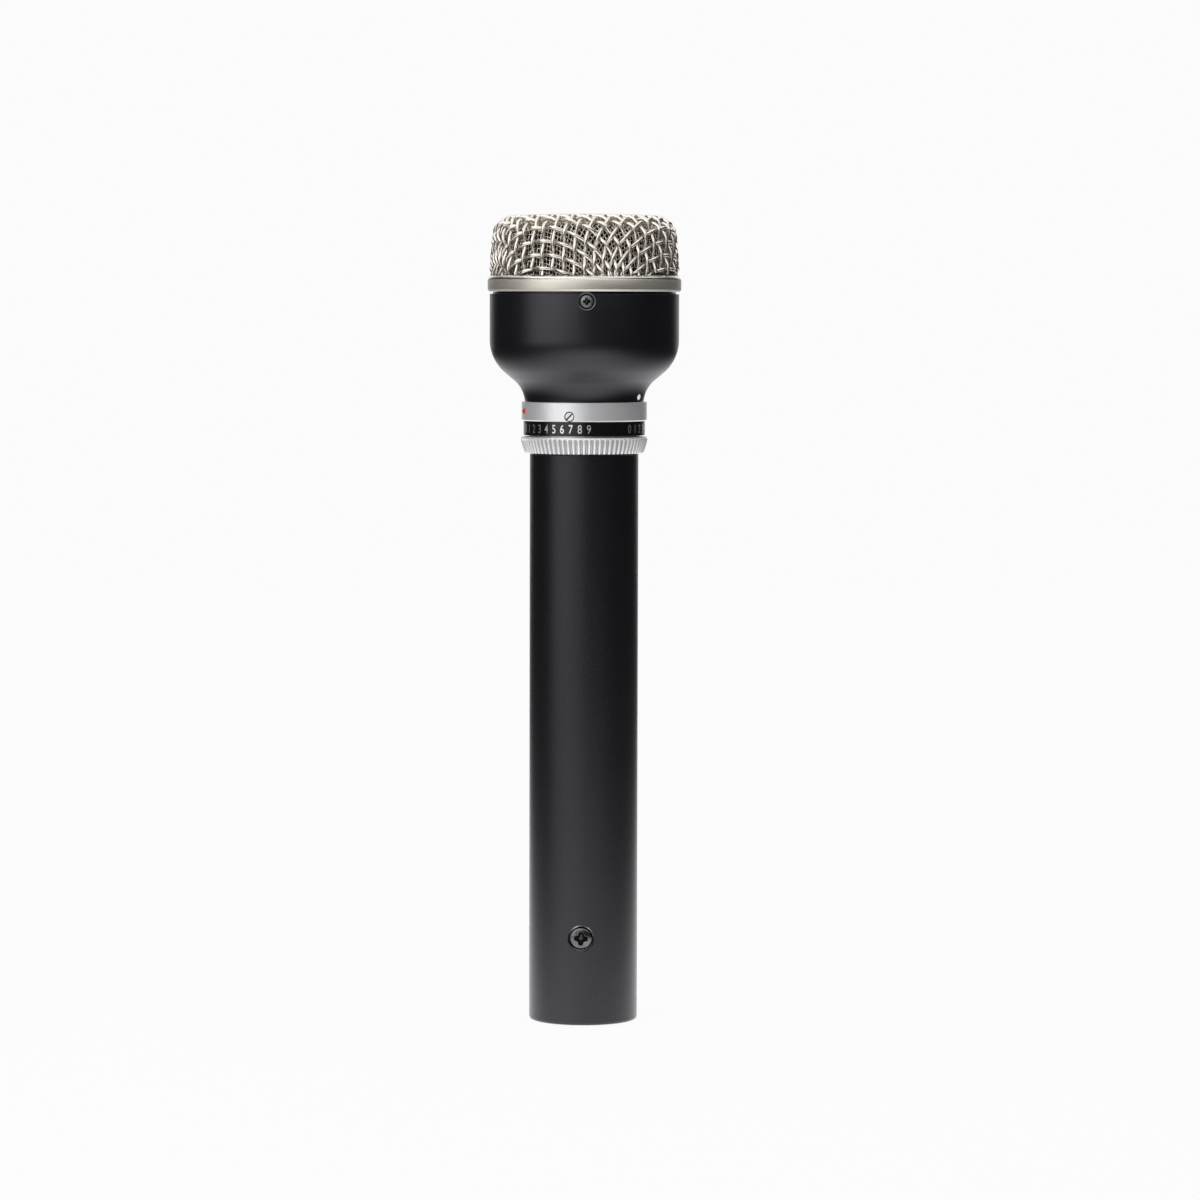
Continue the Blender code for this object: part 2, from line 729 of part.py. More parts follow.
def make_head_housing():
    arc_r, inner_radius = HOUSING_RADIUS - BOWL_ARC_RADIUS, BOWL_ARC_RADIUS - HOUSING_WALL
    profile = [
        *bowl_outside(),
        (NECK_BORE, HOUSING_BOTTOM),
        (NECK_BORE, NECK_BORE_TOP),
        (NECK_BORE + 2.6 * MM, NECK_BORE_TOP),
        *arc(
            arc_r, BOWL_ARC_Z, inner_radius,
            -bowl_turn(), -math.acos((SEAT_BORE - arc_r) / inner_radius), 1,
        ),
        (SEAT_BORE, SEAT_Z),
        (HOUSING_RADIUS - HOUSING_WALL, SEAT_Z),
        (HOUSING_RADIUS - HOUSING_WALL, HOUSING_TOP),
    ]
    housing = turned("head_housing", profile, "black_paint", MAIN)
    inlay(
        "white_index_dot", housing, WHITE_DOT_AZIMUTH, WHITE_DOT_Z, neck_radius(WHITE_DOT_Z),
        "white_paint",
    )
    return housing


def make_grille_ring():
    skirt_radius, skirt_bore, skirt_bottom = 18.9 * MM, 17.85 * MM, 154.6 * MM
    return turned("grille_ring", [
        (RING_LIP_RADIUS, RING_TOP),
        (RING_RADIUS, RING_TOP - 0.95 * MM),
        (RING_RADIUS, RING_BOTTOM + 0.5 * MM),
        (RING_RADIUS - 0.3 * MM, RING_BOTTOM),
        (skirt_radius, RING_BOTTOM),
        (skirt_radius, skirt_bottom),
        (skirt_bore, skirt_bottom),
        (skirt_bore, MESH_SEAT),
        (RING_BORE, MESH_SEAT),
        (RING_BORE, RING_TOP),
    ], "champagne_nickel", MAIN)


def make_head_screws(housing, grille_ring):
    clear, outside = 0.85 * MM, HOUSING_RADIUS + 3 * MM
    for number in (1, 2, 3):
        azimuth = HEAD_SCREW_AZIMUTH + 120 * (number - 1)
        driver = screw(
            f"head_screw_{number}", 1.35 * MM, 0.75 * MM, 0.72 * MM, 1.7 * MM, "black_screw",
        )
        recess(driver, 1.7 * MM, 0.42 * MM, 0.4 * MM, 0.75 * MM)
        stand_out(driver, azimuth, HEAD_SCREW_Z, HEAD_SCREW_FLOOR + GAP)
        cut(
            housing,
            radial_hole(
                f"counterbore_{number}", 1.75 * MM, azimuth, HEAD_SCREW_Z, HEAD_SCREW_FLOOR,
                outside,
            ),
            radial_hole(
                f"clear_hole_{number}", clear, azimuth, HEAD_SCREW_Z, SEAT_BORE, outside,
            ),
        )
        cut(grille_ring, radial_hole(
            f"skirt_hole_{number}", clear, azimuth, HEAD_SCREW_Z, SEAT_BORE, outside,
        ))


# Grille: two woven caps, a cloth and the ring that holds them. The weave itself is left to the
# looks; here each cap is a shell of the weave's thickness.

def cap_profile(inset, thickness, foot, steps=3):
    """A shell that follows the grille's outside, set in by inset."""
    crown_drop, wall_lean = 0.95 * MM, 0.6 * MM
    shoulder_z = GRILLE_TOP - crown_drop - GRILLE_SHOULDER_RADIUS
    shoulder_r = GRILLE_WALL_RADIUS - wall_lean - GRILLE_SHOULDER_RADIUS

    def side(offset, foot_radius):
        radius = GRILLE_SHOULDER_RADIUS - offset
        down = arc(shoulder_r, shoulder_z, radius, math.radians(86), 0, steps)
        crown = [(0, GRILLE_TOP - offset), (shoulder_r * 0.55, GRILLE_TOP - offset - 0.3 * MM)]
        knee = (GRILLE_WALL_RADIUS - offset, RING_TOP + 0.5 * MM)
        return [*crown, *down, knee, (foot_radius, RING_TOP), (foot_radius, foot)]

    tucked = RING_BORE - 0.1 * MM
    outer = side(inset, tucked - inset)
    inner = side(inset + thickness, tucked - inset - thickness)
    return outer + inner[::-1]


def make_grille():
    foot = MESH_SEAT + GAP
    turned("grille_mesh_outer", cap_profile(0, 1.35 * MM, foot), "champagne_nickel", MAIN)
    turned("grille_mesh_inner", cap_profile(1.5 * MM, 0.5 * MM, foot), "champagne_nickel")
    turned("grille_cloth", cap_profile(2.15 * MM, 0.35 * MM, foot), "cloth")
    ring("mesh_clamp_ring", 16.9 * MM, 17.6 * MM, foot, 161.8 * MM, "dark_steel")


# Ribbon motor.

MOTOR_RADIUS = 16.4 * MM
BASE_BOTTOM = 154.6 * MM
BASE_TOP = 156.0 * MM
YOKE_BOTTOM = 156.1 * MM
YOKE_TOP = 162.3 * MM
BAFFLE_TOP = 163.2 * MM
OPENING_X = 12.9 * MM
OPENING_Y = 8.0 * MM
POLE_HALF_LENGTH = 8.6 * MM
RIBBON_Z = 159.2 * MM
RIBBON_HALF_WIDTH = 1.45 * MM
RIBBON_HALF_LENGTH = 11.4 * MM
CLAMP_NEAR = 9.0 * MM
CLAMP_FAR = 11.6 * MM
MOTOR_SCREW_Y = 12.2 * MM


def make_motor_frame():
    base = disc("motor_base_plate", MOTOR_RADIUS, BASE_BOTTOM, BASE_TOP, "dark_steel", MAIN)
    cut(base, box(
        "base_port", (-8.4 * MM, -2.2 * MM, 150 * MM), (8.4 * MM, 2.2 * MM, 160 * MM),
        group=CUTTERS,
    ))
    for side in (-1, 1):
        x = side * 12.25 * MM
        cut(base, hole(f"lead_hole_{side}", 0.6 * MM, (x, 0, 150 * MM), (x, 0, 158 * MM)))

    yoke = disc("yoke_ring", MOTOR_RADIUS, YOKE_BOTTOM, YOKE_TOP, "dark_steel", MAIN)
    cut(yoke, box(
        "yoke_opening",
        (-OPENING_X, -OPENING_Y, 150 * MM), (OPENING_X, OPENING_Y, 170 * MM), group=CUTTERS,
    ))

    baffle = disc("front_baffle", MOTOR_RADIUS, YOKE_TOP + GAP, BAFFLE_TOP, "black_paint", MAIN)
    cut(baffle, box(
        "baffle_slot", (-9 * MM, -2.4 * MM, 160 * MM), (9 * MM, 2.4 * MM, 166 * MM),
        group=CUTTERS,
    ))
    for number, side in ((1, -1), (2, 1)):
        place = Vector((0, side * MOTOR_SCREW_Y, 0))
        for piece in (base, yoke, baffle):
            cut(piece, hole(
                f"{piece.name}_screw_hole_{number}", 1.1 * MM,
                place + Vector((0, 0, 150 * MM)), place + Vector((0, 0, 168 * MM)),
            ))
        driver = screw(
            f"motor_screw_{number}", 1.7 * MM, 1.0 * MM, 0.98 * MM, 8.4 * MM, "bright_steel",
        )
        recess(driver, 2.2 * MM, 0.5 * MM, 0.5 * MM, 1.0 * MM)
        driver.location = place + Vector((0, 0, BAFFLE_TOP + GAP))


def make_magnets():
    low, high = 156.3 * MM, 162.1 * MM
    near, far = 4.3 * MM, 7.8 * MM
    middle = (low + high) / 2
    tip_y, tip_half, root_half = 1.75 * MM, 0.8 * MM, 2.7 * MM
    for number, side in ((1, -1), (2, 1)):
        y = sorted((side * near, side * far))
        box(
            f"magnet_{number}",
            (-POLE_HALF_LENGTH, y[0], low), (POLE_HALF_LENGTH, y[1], high), "bright_steel",
        )
        outline = [
            (near - GAP, root_half), (tip_y, tip_half), (tip_y, -tip_half),
            (near - GAP, -root_half),
        ]
        pole = plate(f"pole_piece_{number}", outline, 2 * POLE_HALF_LENGTH, "dark_steel")
        pole.location.z = middle
        pole.rotation_euler = (math.pi / 2, 0, side * math.pi / 2)


def make_ribbon():
    """Corrugated foil. The real foil is a few thousandths of a millimetre thick."""
    half_thickness, fold, height = 0.05 * MM, 0.5 * MM, 0.22 * MM
    folds = int(2 * CLAMP_NEAR / fold)
    crest = [(-RIBBON_HALF_LENGTH, 0)]
    for i in range(folds + 1):
        rise = 0 if i in (0, folds) else height * (1 if i % 2 else -1)
        crest.append((-CLAMP_NEAR + i * fold, rise))
    crest.append((RIBBON_HALF_LENGTH, 0))
    outline = [(x, y + half_thickness) for x, y in crest]
    outline += [(x, y - half_thickness) for x, y in reversed(crest)]
    foil = plate("ribbon", outline, 2 * RIBBON_HALF_WIDTH, "foil")
    foil.location.z = RIBBON_Z
    foil.rotation_euler = (math.pi / 2, 0, 0)


def make_clamps():
    half_y, part = 3.9 * MM, 0.15 * MM
    for number, side in ((1, -1), (2, 1)):
        x = sorted((side * CLAMP_NEAR, side * CLAMP_FAR))
        box(
            f"clamp_base_{number}",
            (x[0], -half_y, BASE_TOP + GAP), (x[1], half_y, RIBBON_Z - part), "black_plastic",
        )
        box(
            f"clamp_bar_{number}",
            (x[0], -half_y, RIBBON_Z + part), (x[1], half_y, 160.6 * MM), "brass",
        )


def make_rear_chamber():
    radius, wall, bottom = 11.5 * MM, 0.9 * MM, 145.0 * MM
    top = BASE_BOTTOM - GAP
    chamber = turned("rear_chamber", [
        (radius, top),
        (radius, bottom),
        (0, bottom),
        (0, bottom + wall),
        (radius - wall, bottom + wall),
        (radius - wall, top),
    ], "brass", MAIN)
    for i in range(4):
        azimuth = 45 + 90 * i
        cut(chamber, radial_hole(
            f"chamber_vent_{i}", 1.2 * MM, azimuth, 151 * MM, 8 * MM, 15 * MM,
        ))
    disc(
        "damping_felt", radius - wall - 2 * GAP, bottom + wall + GAP, 149.0 * MM, "felt",
    )


def make_suspension():
    bottom, top = SEAT_Z + GAP, 158.0 * MM
    lip_top = BASE_BOTTOM - GAP
    turned("suspension_ring", [
        (17.7 * MM, top),
        (17.7 * MM, bottom),
        (15.0 * MM, bottom),
        (15.0 * MM, lip_top),
        (MOTOR_RADIUS + GAP, lip_top),
        (MOTOR_RADIUS + GAP, top),
    ], "rubber", MAIN)


# Leads, each along its own route inside the shells.

def make_leads():
    radius = 0.35 * MM
    for number, side in ((1, -1), (2, 1)):
        lead(f"ribbon_lead_{number}", [
            (side * 12.25 * MM, 0, 160.2 * MM),
            (side * 12.25 * MM, 0, 155.3 * MM),
            (side * 12.9 * MM, 0, 152.5 * MM),
            (side * 12.9 * MM, 0, 147.5 * MM),
            (side * 11.4 * MM, 0, 143.4 * MM),
            (side * 6.0 * MM, 0, 140.5 * MM),
            (side * 3.2 * MM, 0, 134.0 * MM),
            (side * 2.6 * MM, 0, 120.0 * MM),
            (side * 2.2 * MM, 0, 108.0 * MM),
            (side * 2.0 * MM, 0, 100.8 * MM),
        ], radius)
    lead("selector_lead", [
        (0, 7.4 * MM, 126.3 * MM),
        (0, 7.9 * MM, 122.0 * MM),
        (0, 7.9 * MM, 114.0 * MM),
        (0, 9.05 * MM, 106.5 * MM),
        (0, 9.05 * MM, 94.0 * MM),
        (0, 9.05 * MM, 82.0 * MM),
        (0, 5.0 * MM, 76.5 * MM),
        (0, 1.2 * MM, 72.0 * MM),
    ], radius)
    lead("transformer_lead", [
        (0, 0, 84.6 * MM),
        (0, 0, 81.0 * MM),
        (0, -0.6 * MM, 78.5 * MM),
        (0, -1.6 * MM, 76.0 * MM),
        (0, -1.25 * MM, 72.0 * MM),
    ], radius)
    lead("output_lead", [
        (0, 1.6 * MM, 40.5 * MM),
        (0, 1.8 * MM, 37.5 * MM),
        (0, 0.6 * MM, 34.0 * MM),
        (0.4 * MM, 0, 30.0 * MM),
        (0.4 * MM, 0, 25.6 * MM),
    ], 0.8 * MM)


make_handle_tube()
make_connector()
make_filter()
make_transformer()
make_neck_sleeve()
make_selector()
make_collar()
HOUSING = make_head_housing()
GRILLE_RING = make_grille_ring()
make_head_screws(HOUSING, GRILLE_RING)
make_grille()
make_motor_frame()
make_magnets()
make_ribbon()
make_clamps()
make_rear_chamber()
make_suspension()
make_leads()
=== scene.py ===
"""Looks of the end-address ribbon microphone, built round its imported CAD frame.

Metres, +Z up the microphone's axis, -Y towards the camera. An azimuth is in degrees, measured
from -Y towards +X. Sizes come from the frame's boxes; the few that a box can't give are named.
"""

import json
import math

import bmesh
import bpy
from mathutils import Matrix, Vector


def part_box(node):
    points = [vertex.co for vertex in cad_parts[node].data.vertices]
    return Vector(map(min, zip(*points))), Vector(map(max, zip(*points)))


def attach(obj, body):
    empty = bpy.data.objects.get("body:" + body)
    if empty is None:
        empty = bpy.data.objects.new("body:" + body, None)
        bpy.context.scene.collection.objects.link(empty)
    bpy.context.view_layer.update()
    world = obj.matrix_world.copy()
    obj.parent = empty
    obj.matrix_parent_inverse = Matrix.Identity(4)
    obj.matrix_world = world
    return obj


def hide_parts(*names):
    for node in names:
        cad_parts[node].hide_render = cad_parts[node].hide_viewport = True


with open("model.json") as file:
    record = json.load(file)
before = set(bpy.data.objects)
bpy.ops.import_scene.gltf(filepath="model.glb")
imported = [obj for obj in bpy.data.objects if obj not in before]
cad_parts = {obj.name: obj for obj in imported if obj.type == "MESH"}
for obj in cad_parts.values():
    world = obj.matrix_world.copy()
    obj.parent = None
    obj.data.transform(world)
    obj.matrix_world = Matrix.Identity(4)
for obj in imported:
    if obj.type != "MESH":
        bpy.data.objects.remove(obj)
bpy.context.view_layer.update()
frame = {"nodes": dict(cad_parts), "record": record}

MM = 0.001
# Facets of a turned piece, by how large it shows.
AROUND_LARGE = 256
AROUND = 192
AROUND_SMALL = 72

# Azimuths that a box can't give.
DRIVE_SCREW_AZIMUTH = -13.5
HEAD_SCREW_AZIMUTH = 1.5
XLR_SCREW_AZIMUTH = -2.2
RED_DOT_AZIMUTH = -72.0
WHITE_DOT_AZIMUTH = 64.5


def reach(node):
    """The largest radius of a node that lies round the axis."""
    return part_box(node)[1].x


def bottom(node):
    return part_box(node)[0].z


def top(node):
    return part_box(node)[1].z


def middle(node):
    low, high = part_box(node)
    return (low + high) / 2


TUBE_RADIUS = reach("handle_tube")
COLLAR_RADIUS = reach("control_ring")
BAND_RADIUS = reach("label_band")
GRIP_RADIUS = reach("grip_ring")
HOUSING_RADIUS = reach("head_housing")
RING_RADIUS = reach("grille_ring")
RING_TOP = top("grille_ring")
CAP_TOP = top("grille_mesh_outer")


def outward(azimuth):
    """The level direction away from the axis."""
    a = math.radians(azimuth)
    return Vector((math.sin(a), -math.cos(a), 0))


# ---------------- materials

def new_material(name):
    made = bpy.data.materials.new(name)
    made.use_nodes = True
    return made, made.node_tree.nodes, made.node_tree.links


def own_place(nodes):
    """Where a point is in the object's own coordinates, in metres."""
    return nodes.new("ShaderNodeTexCoord").outputs["Object"]


def own_axes(nodes, links):
    """The object's own X, Y and Z, as three outputs."""
    parts = nodes.new("ShaderNodeSeparateXYZ")
    links.new(own_place(nodes), parts.inputs["Vector"])
    return [parts.outputs[axis] for axis in "XYZ"]


NOISE_DETAIL = 4.0
NOISE_SPAN = (0.3, 0.7)  # most of a noise lies between these


def noise_from(nodes, links, grain, stretch):
    """Noise over the object's own coordinates; grain is the size of one spot in metres."""
    mapping = nodes.new("ShaderNodeMapping")
    mapping.inputs["Scale"].default_value = stretch
    noise = nodes.new("ShaderNodeTexNoise")
    noise.inputs["Scale"].default_value = 1 / grain
    noise.inputs["Detail"].default_value = NOISE_DETAIL
    links.new(own_place(nodes), mapping.inputs["Vector"])
    links.new(mapping.outputs["Vector"], noise.inputs["Vector"])
    return noise.outputs["Fac"]


def mapped(nodes, links, source, span, result, curve="LINEAR"):
    """Maps one span of values onto another, and holds it at both ends."""
    made = nodes.new("ShaderNodeMapRange")
    made.interpolation_type = curve
    for name, value in zip(("From Min", "From Max", "To Min", "To Max"), (*span, *result)):
        made.inputs[name].default_value = value
    links.new(source, made.inputs["Value"])
    return made.outputs["Result"]


def fade(nodes, links, source, full, none):
    """One up to full, and zero from none on."""
    return mapped(nodes, links, source, (full, none), (1, 0), "SMOOTHSTEP")


def arithmetic(nodes, links, operation, first, second):
    """One Math node; each input is a number or another node's output."""
    made = nodes.new("ShaderNodeMath")
    made.operation = operation
    for socket, value in zip(made.inputs, (first, second)):
        if isinstance(value, (int, float)):
            socket.default_value = value
        else:
            links.new(value, socket)
    return made.outputs["Value"]


def colour_mix(nodes, links, factor, first, second):
    """From first to second by the factor; each is a colour or another node's output."""
    made = nodes.new("ShaderNodeMix")
    made.data_type = "RGBA"
    links.new(factor, made.inputs["Factor"])
    for socket, value in ((made.inputs["A"], first), (made.inputs["B"], second)):
        if isinstance(value, tuple):
            socket.default_value = (*value, 1)
        else:
            links.new(value, socket)
    return made.outputs["Result"]


def add_relief(nodes, links, height, distance):
    """Raises the surface by distance, in metres, where the height is one."""
    bump = nodes.new("ShaderNodeBump")
    bump.inputs["Distance"].default_value = distance
    links.new(height, bump.inputs["Height"])
    links.new(bump.outputs["Normal"], nodes["Principled BSDF"].inputs["Normal"])


EVEN = (1, 1, 1)
LATHE_MARKS = (0.04, 0.04, 1)  # stretches a noise into rings round the axis


def surface(
    name, dark, light, rough, relief, grain=0.3 * MM, metallic=0.0, stretch=EVEN,
    wear_grain=None, turned=False, **constants,
):
    """A material whose colour, roughness and height wander with noises. dark and light are
    colours, rough is a pair, and grain, wear_grain and relief are in metres. The constants are
    values for the shader's own sockets, by name."""
    made, nodes, links = new_material(name)
    shader = nodes["Principled BSDF"]
    shader.inputs["Metallic"].default_value = metallic
    for socket, value in constants.items():
        shader.inputs[socket.replace("_", " ")].default_value = value
    fine = noise_from(nodes, links, grain, stretch)
    wander = noise_from(nodes, links, wear_grain or grain * 8, EVEN)
    wear = mapped(nodes, links, wander, NOISE_SPAN, (0, 1))
    links.new(colour_mix(nodes, links, wear, dark, light), shader.inputs["Base Color"])
    links.new(mapped(nodes, links, fine, NOISE_SPAN, rough), shader.inputs["Roughness"])
    add_relief(nodes, links, fine, relief)
    if turned:
        tangent = nodes.new("ShaderNodeTangent")
        tangent.direction_type = "RADIAL"
        tangent.axis = "Z"
        links.new(tangent.outputs["Tangent"], shader.inputs["Tangent"])
    return made


BLUISH = (0.90, 0.88, 1.0, 1.0)

POWDER_COAT = surface(
    "powder_coat", (0.003, 0.003, 0.004), (0.004, 0.004, 0.005), (0.28, 0.38),
    relief=0.035 * MM, wear_grain=9 * MM,
    Specular_IOR_Level=0.57, Specular_Tint=BLUISH,
)
SATIN_BLACK = surface(
    "satin_black_paint", (0.003, 0.003, 0.004), (0.004, 0.004, 0.005), (0.32, 0.38),
    grain=0.5 * MM, relief=0.006 * MM, wear_grain=7 * MM,
    Specular_IOR_Level=0.60, Specular_Tint=BLUISH,
)
NICKEL_RING = surface(
    "satin_nickel_ring", (0.58, 0.55, 0.485), (0.64, 0.61, 0.545), (0.40, 0.46), metallic=0.80,
    grain=0.12 * MM, stretch=LATHE_MARKS, relief=0.002 * MM, wear_grain=5 * MM, turned=True,
    Anisotropic=0.4,
)
NICKEL_EDGE = surface(
    "bright_nickel_edge", (0.88, 0.85, 0.78), (0.94, 0.91, 0.85), (0.24, 0.32), metallic=1.0,
    grain=0.12 * MM, stretch=LATHE_MARKS, relief=0.002 * MM, wear_grain=3 * MM,
)
NICKEL_WIRE = surface(
    "nickel_wire", (0.76, 0.705, 0.635), (0.89, 0.845, 0.775), (0.22, 0.34), metallic=1.0,
    grain=0.25 * MM, relief=0.008 * MM, wear_grain=1.6 * MM,
)
FINE_WIRE = surface(
    "fine_nickel_wire", (0.78, 0.73, 0.66), (0.92, 0.88, 0.81), (0.16, 0.28), metallic=1.0,
    grain=0.15 * MM, relief=0.004 * MM, wear_grain=1.2 * MM,
)
TURNED_ALUMINIUM = surface(
    "turned_aluminium", (0.84, 0.85, 0.86), (0.90, 0.91, 0.92), (0.34, 0.42), metallic=0.65,
    grain=0.09 * MM, stretch=LATHE_MARKS, relief=0.0015 * MM, wear_grain=4 * MM, turned=True,
    Anisotropic=0.5,
)
KNURLED_ALUMINIUM = surface(
    "knurled_aluminium", (0.88, 0.885, 0.89), (0.94, 0.945, 0.95), (0.26, 0.38), metallic=0.55,
    grain=0.12 * MM, relief=0.006 * MM, wear_grain=2 * MM,
)
GLOSS_BLACK = surface(
    "band_black", (0.003, 0.003, 0.003), (0.005, 0.005, 0.005), (0.20, 0.28),
    grain=0.25 * MM, relief=0.003 * MM, wear_grain=4 * MM,
)
SCALE_SILVER = surface(
    "engraved_silver", (0.80, 0.80, 0.79), (0.90, 0.90, 0.89), (0.30, 0.42), metallic=1.0,
    grain=0.10 * MM, relief=0.004 * MM, wear_grain=0.8 * MM,
)
DOT_RED = surface(
    "dot_red", (0.55, 0.012, 0.035), (0.66, 0.02, 0.045), (0.30, 0.42),
    grain=0.15 * MM, relief=0.005 * MM, wear_grain=0.6 * MM,
)
# White paint with a faint emission: a painted glow that stands in for light the dot would get
# from the side.
WHITE_DOT_GLOWING = surface(
    "white_dot_painted_glow", (0.80, 0.80, 0.79), (0.90, 0.90, 0.89), (0.32, 0.45),
    grain=0.15 * MM, relief=0.005 * MM, wear_grain=0.6 * MM,
    Emission_Color=(1, 1, 1, 1), Emission_Strength=0.3,
)
BLACK_SCREW = surface(
    "blackened_screw", (0.10, 0.10, 0.105), (0.15, 0.15, 0.155), (0.16, 0.24), metallic=1.0,
    relief=0.006 * MM, wear_grain=1.2 * MM,
)
WORN_BLACK = surface(
    "worn_black", (0.21, 0.21, 0.22), (0.30, 0.30, 0.31), (0.42, 0.52), metallic=1.0,
    relief=0.004 * MM, wear_grain=0.8 * MM,
)
STEEL_SCREW = surface(
    "bright_screw", (0.74, 0.75, 0.76), (0.84, 0.85, 0.86), (0.34, 0.42), metallic=0.65,
    grain=0.2 * MM, relief=0.004 * MM, wear_grain=1 * MM,
)
CONNECTOR_NICKEL = surface(
    "connector_nickel", (0.56, 0.56, 0.55), (0.68, 0.68, 0.66), (0.16, 0.28), metallic=1.0,
    grain=0.2 * MM, stretch=LATHE_MARKS, relief=0.003 * MM, wear_grain=3 * MM,
)
INSULATOR = surface(
    "moulded_insulator", (0.010, 0.010, 0.011), (0.017, 0.017, 0.018), (0.42, 0.58),
    grain=0.18 * MM, relief=0.010 * MM, wear_grain=3 * MM,
)
GOLD_PIN = surface(
    "gold_plated_pin", (0.72, 0.50, 0.20), (0.84, 0.62, 0.28), (0.14, 0.26), metallic=1.0,
    stretch=LATHE_MARKS, relief=0.003 * MM, wear_grain=2 * MM,
)


GROOVE_SHADE_FADE = (-0.5, 0.3)  # where the painted groove shade ends, from -1 in a groove to 1 on a crest


def darken_grooves(made, count, ceiling, shade_colour):
    """Painted shade between ribs that stand count to the turn round the axis, below the ceiling:
    it darkens the grooves as their depth would.
    """
    nodes, links = made.node_tree.nodes, made.node_tree.links
    base = nodes["Principled BSDF"].inputs["Base Color"]
    clean = base.links[0].from_socket
    x, y, z = own_axes(nodes, links)
    angle = arithmetic(nodes, links, "ARCTAN2", y, x)
    turned = arithmetic(nodes, links, "MULTIPLY", angle, float(count))
    crest = arithmetic(nodes, links, "COSINE", turned, 0.0)
    below = arithmetic(nodes, links, "LESS_THAN", z, ceiling)
    deep = fade(nodes, links, crest, *GROOVE_SHADE_FADE)
    groove = arithmetic(nodes, links, "MULTIPLY", deep, below)
    links.new(colour_mix(nodes, links, groove, clean, shade_colour), base)


THREAD = 0.25 * MM
THREAD_GAP_BLACK = (0.004, 0.003, 0.003)
THREAD_BLACK = (0.016, 0.013, 0.011)


def cloth_material():
    """A fine plain-woven black cloth."""
    made, nodes, links = new_material("wind_cloth")
    shader = nodes["Principled BSDF"]
    shader.inputs["Sheen Weight"].default_value = 0.3
    threads = []
    for direction in ("X", "Z"):
        wave = nodes.new("ShaderNodeTexWave")
        wave.bands_direction = direction
        wave.inputs["Scale"].default_value = 0.5 / THREAD
        wave.inputs["Distortion"].default_value = 1.5
        links.new(own_place(nodes), wave.inputs["Vector"])
        threads.append(wave.outputs["Fac"])
    height = arithmetic(nodes, links, "MAXIMUM", *threads)
    tint = colour_mix(nodes, links, height, THREAD_GAP_BLACK, THREAD_BLACK)
    links.new(tint, shader.inputs["Base Color"])
    rough = mapped(nodes, links, height, NOISE_SPAN, (0.95, 0.80))
    links.new(rough, shader.inputs["Roughness"])
    add_relief(nodes, links, height, THREAD / 5)
    return made


INSIDE = {
    "dark_steel": surface(
        "dark_plated_steel", (0.16, 0.16, 0.17), (0.26, 0.26, 0.27), (0.34, 0.50), metallic=1.0,
        relief=0.006 * MM,
    ),
    "bright_steel": surface(
        "plain_bright_steel", (0.52, 0.52, 0.53), (0.68, 0.68, 0.68), (0.24, 0.40),
        metallic=1.0, relief=0.005 * MM,
    ),
    "brass": surface(
        "plain_brass", (0.60, 0.43, 0.17), (0.74, 0.56, 0.28), (0.26, 0.42), metallic=1.0,
        relief=0.005 * MM,
    ),
    "foil": surface(
        "ribbon_foil", (0.80, 0.81, 0.82), (0.90, 0.91, 0.92), (0.16, 0.30), metallic=1.0,
        relief=0.010 * MM,
    ),
    "rubber": surface(
        "soft_rubber", (0.012, 0.012, 0.012), (0.022, 0.022, 0.021), (0.70, 0.85),
        grain=0.25 * MM, relief=0.015 * MM,
    ),
    "felt": surface(
        "wool_felt", (0.22, 0.21, 0.19), (0.34, 0.33, 0.30), (0.90, 1.0),
        relief=0.12 * MM, Sheen_Weight=0.4,
    ),
    "board": surface(
        "circuit_board", (0.008, 0.10, 0.04), (0.014, 0.15, 0.06), (0.30, 0.42),
        grain=0.4 * MM, relief=0.006 * MM,
    ),
    "copper": surface(
        "wound_copper", (0.48, 0.18, 0.07), (0.66, 0.30, 0.14), (0.28, 0.42), metallic=1.0,
        grain=0.15 * MM, stretch=LATHE_MARKS, relief=0.05 * MM,
    ),
    "film_capacitor": surface(
        "dipped_resin", (0.34, 0.02, 0.015), (0.46, 0.04, 0.03), (0.22, 0.36),
        grain=0.8 * MM, relief=0.03 * MM,
    ),
    "lead_jacket": surface(
        "lead_insulation", (0.44, 0.44, 0.42), (0.56, 0.56, 0.54), (0.45, 0.60),
        relief=0.01 * MM,
    ),
    "insulator": INSULATOR,
    "housing_paint": SATIN_BLACK,
    "collar_metal": TURNED_ALUMINIUM,
    "cloth": cloth_material(),
}


def paint_carried_nodes():
    """Every CAD node that stays gets the material of its slot."""
    for entry in frame["record"]["subparts"]:
        node = frame["nodes"][entry["node"]]
        if node.hide_render:
            continue
        finish = INSIDE[entry["material_slot"]]
        node.data.materials.clear()
        node.data.materials.append(finish)


# ---------------- making pieces

def new_object(name, data):
    made = bpy.data.objects.new(name, data)
    bpy.context.scene.collection.objects.link(made)
    return made


def piece(name, verts, faces, finish):
    """A smooth-shaded mesh object of one material."""
    data = bpy.data.meshes.new(name)
    data.from_pydata([tuple(v) for v in verts], [], faces)
    data.materials.append(finish)
    data.shade_smooth()
    return new_object(name, data)


def joined(a, b, around):
    """Faces between two rings of points, of which a and b are the first points."""
    return [
        (a + k, b + k, b + (k + 1) % around, a + (k + 1) % around) for k in range(around)
    ]


def arc(centre_r, centre_z, radius, start, end, steps):
    """Profile points (r, z) along an arc, with both of its ends."""
    angles = [start + (end - start) * i / steps for i in range(steps + 1)]
    return [(centre_r + radius * math.cos(a), centre_z + radius * math.sin(a)) for a in angles]


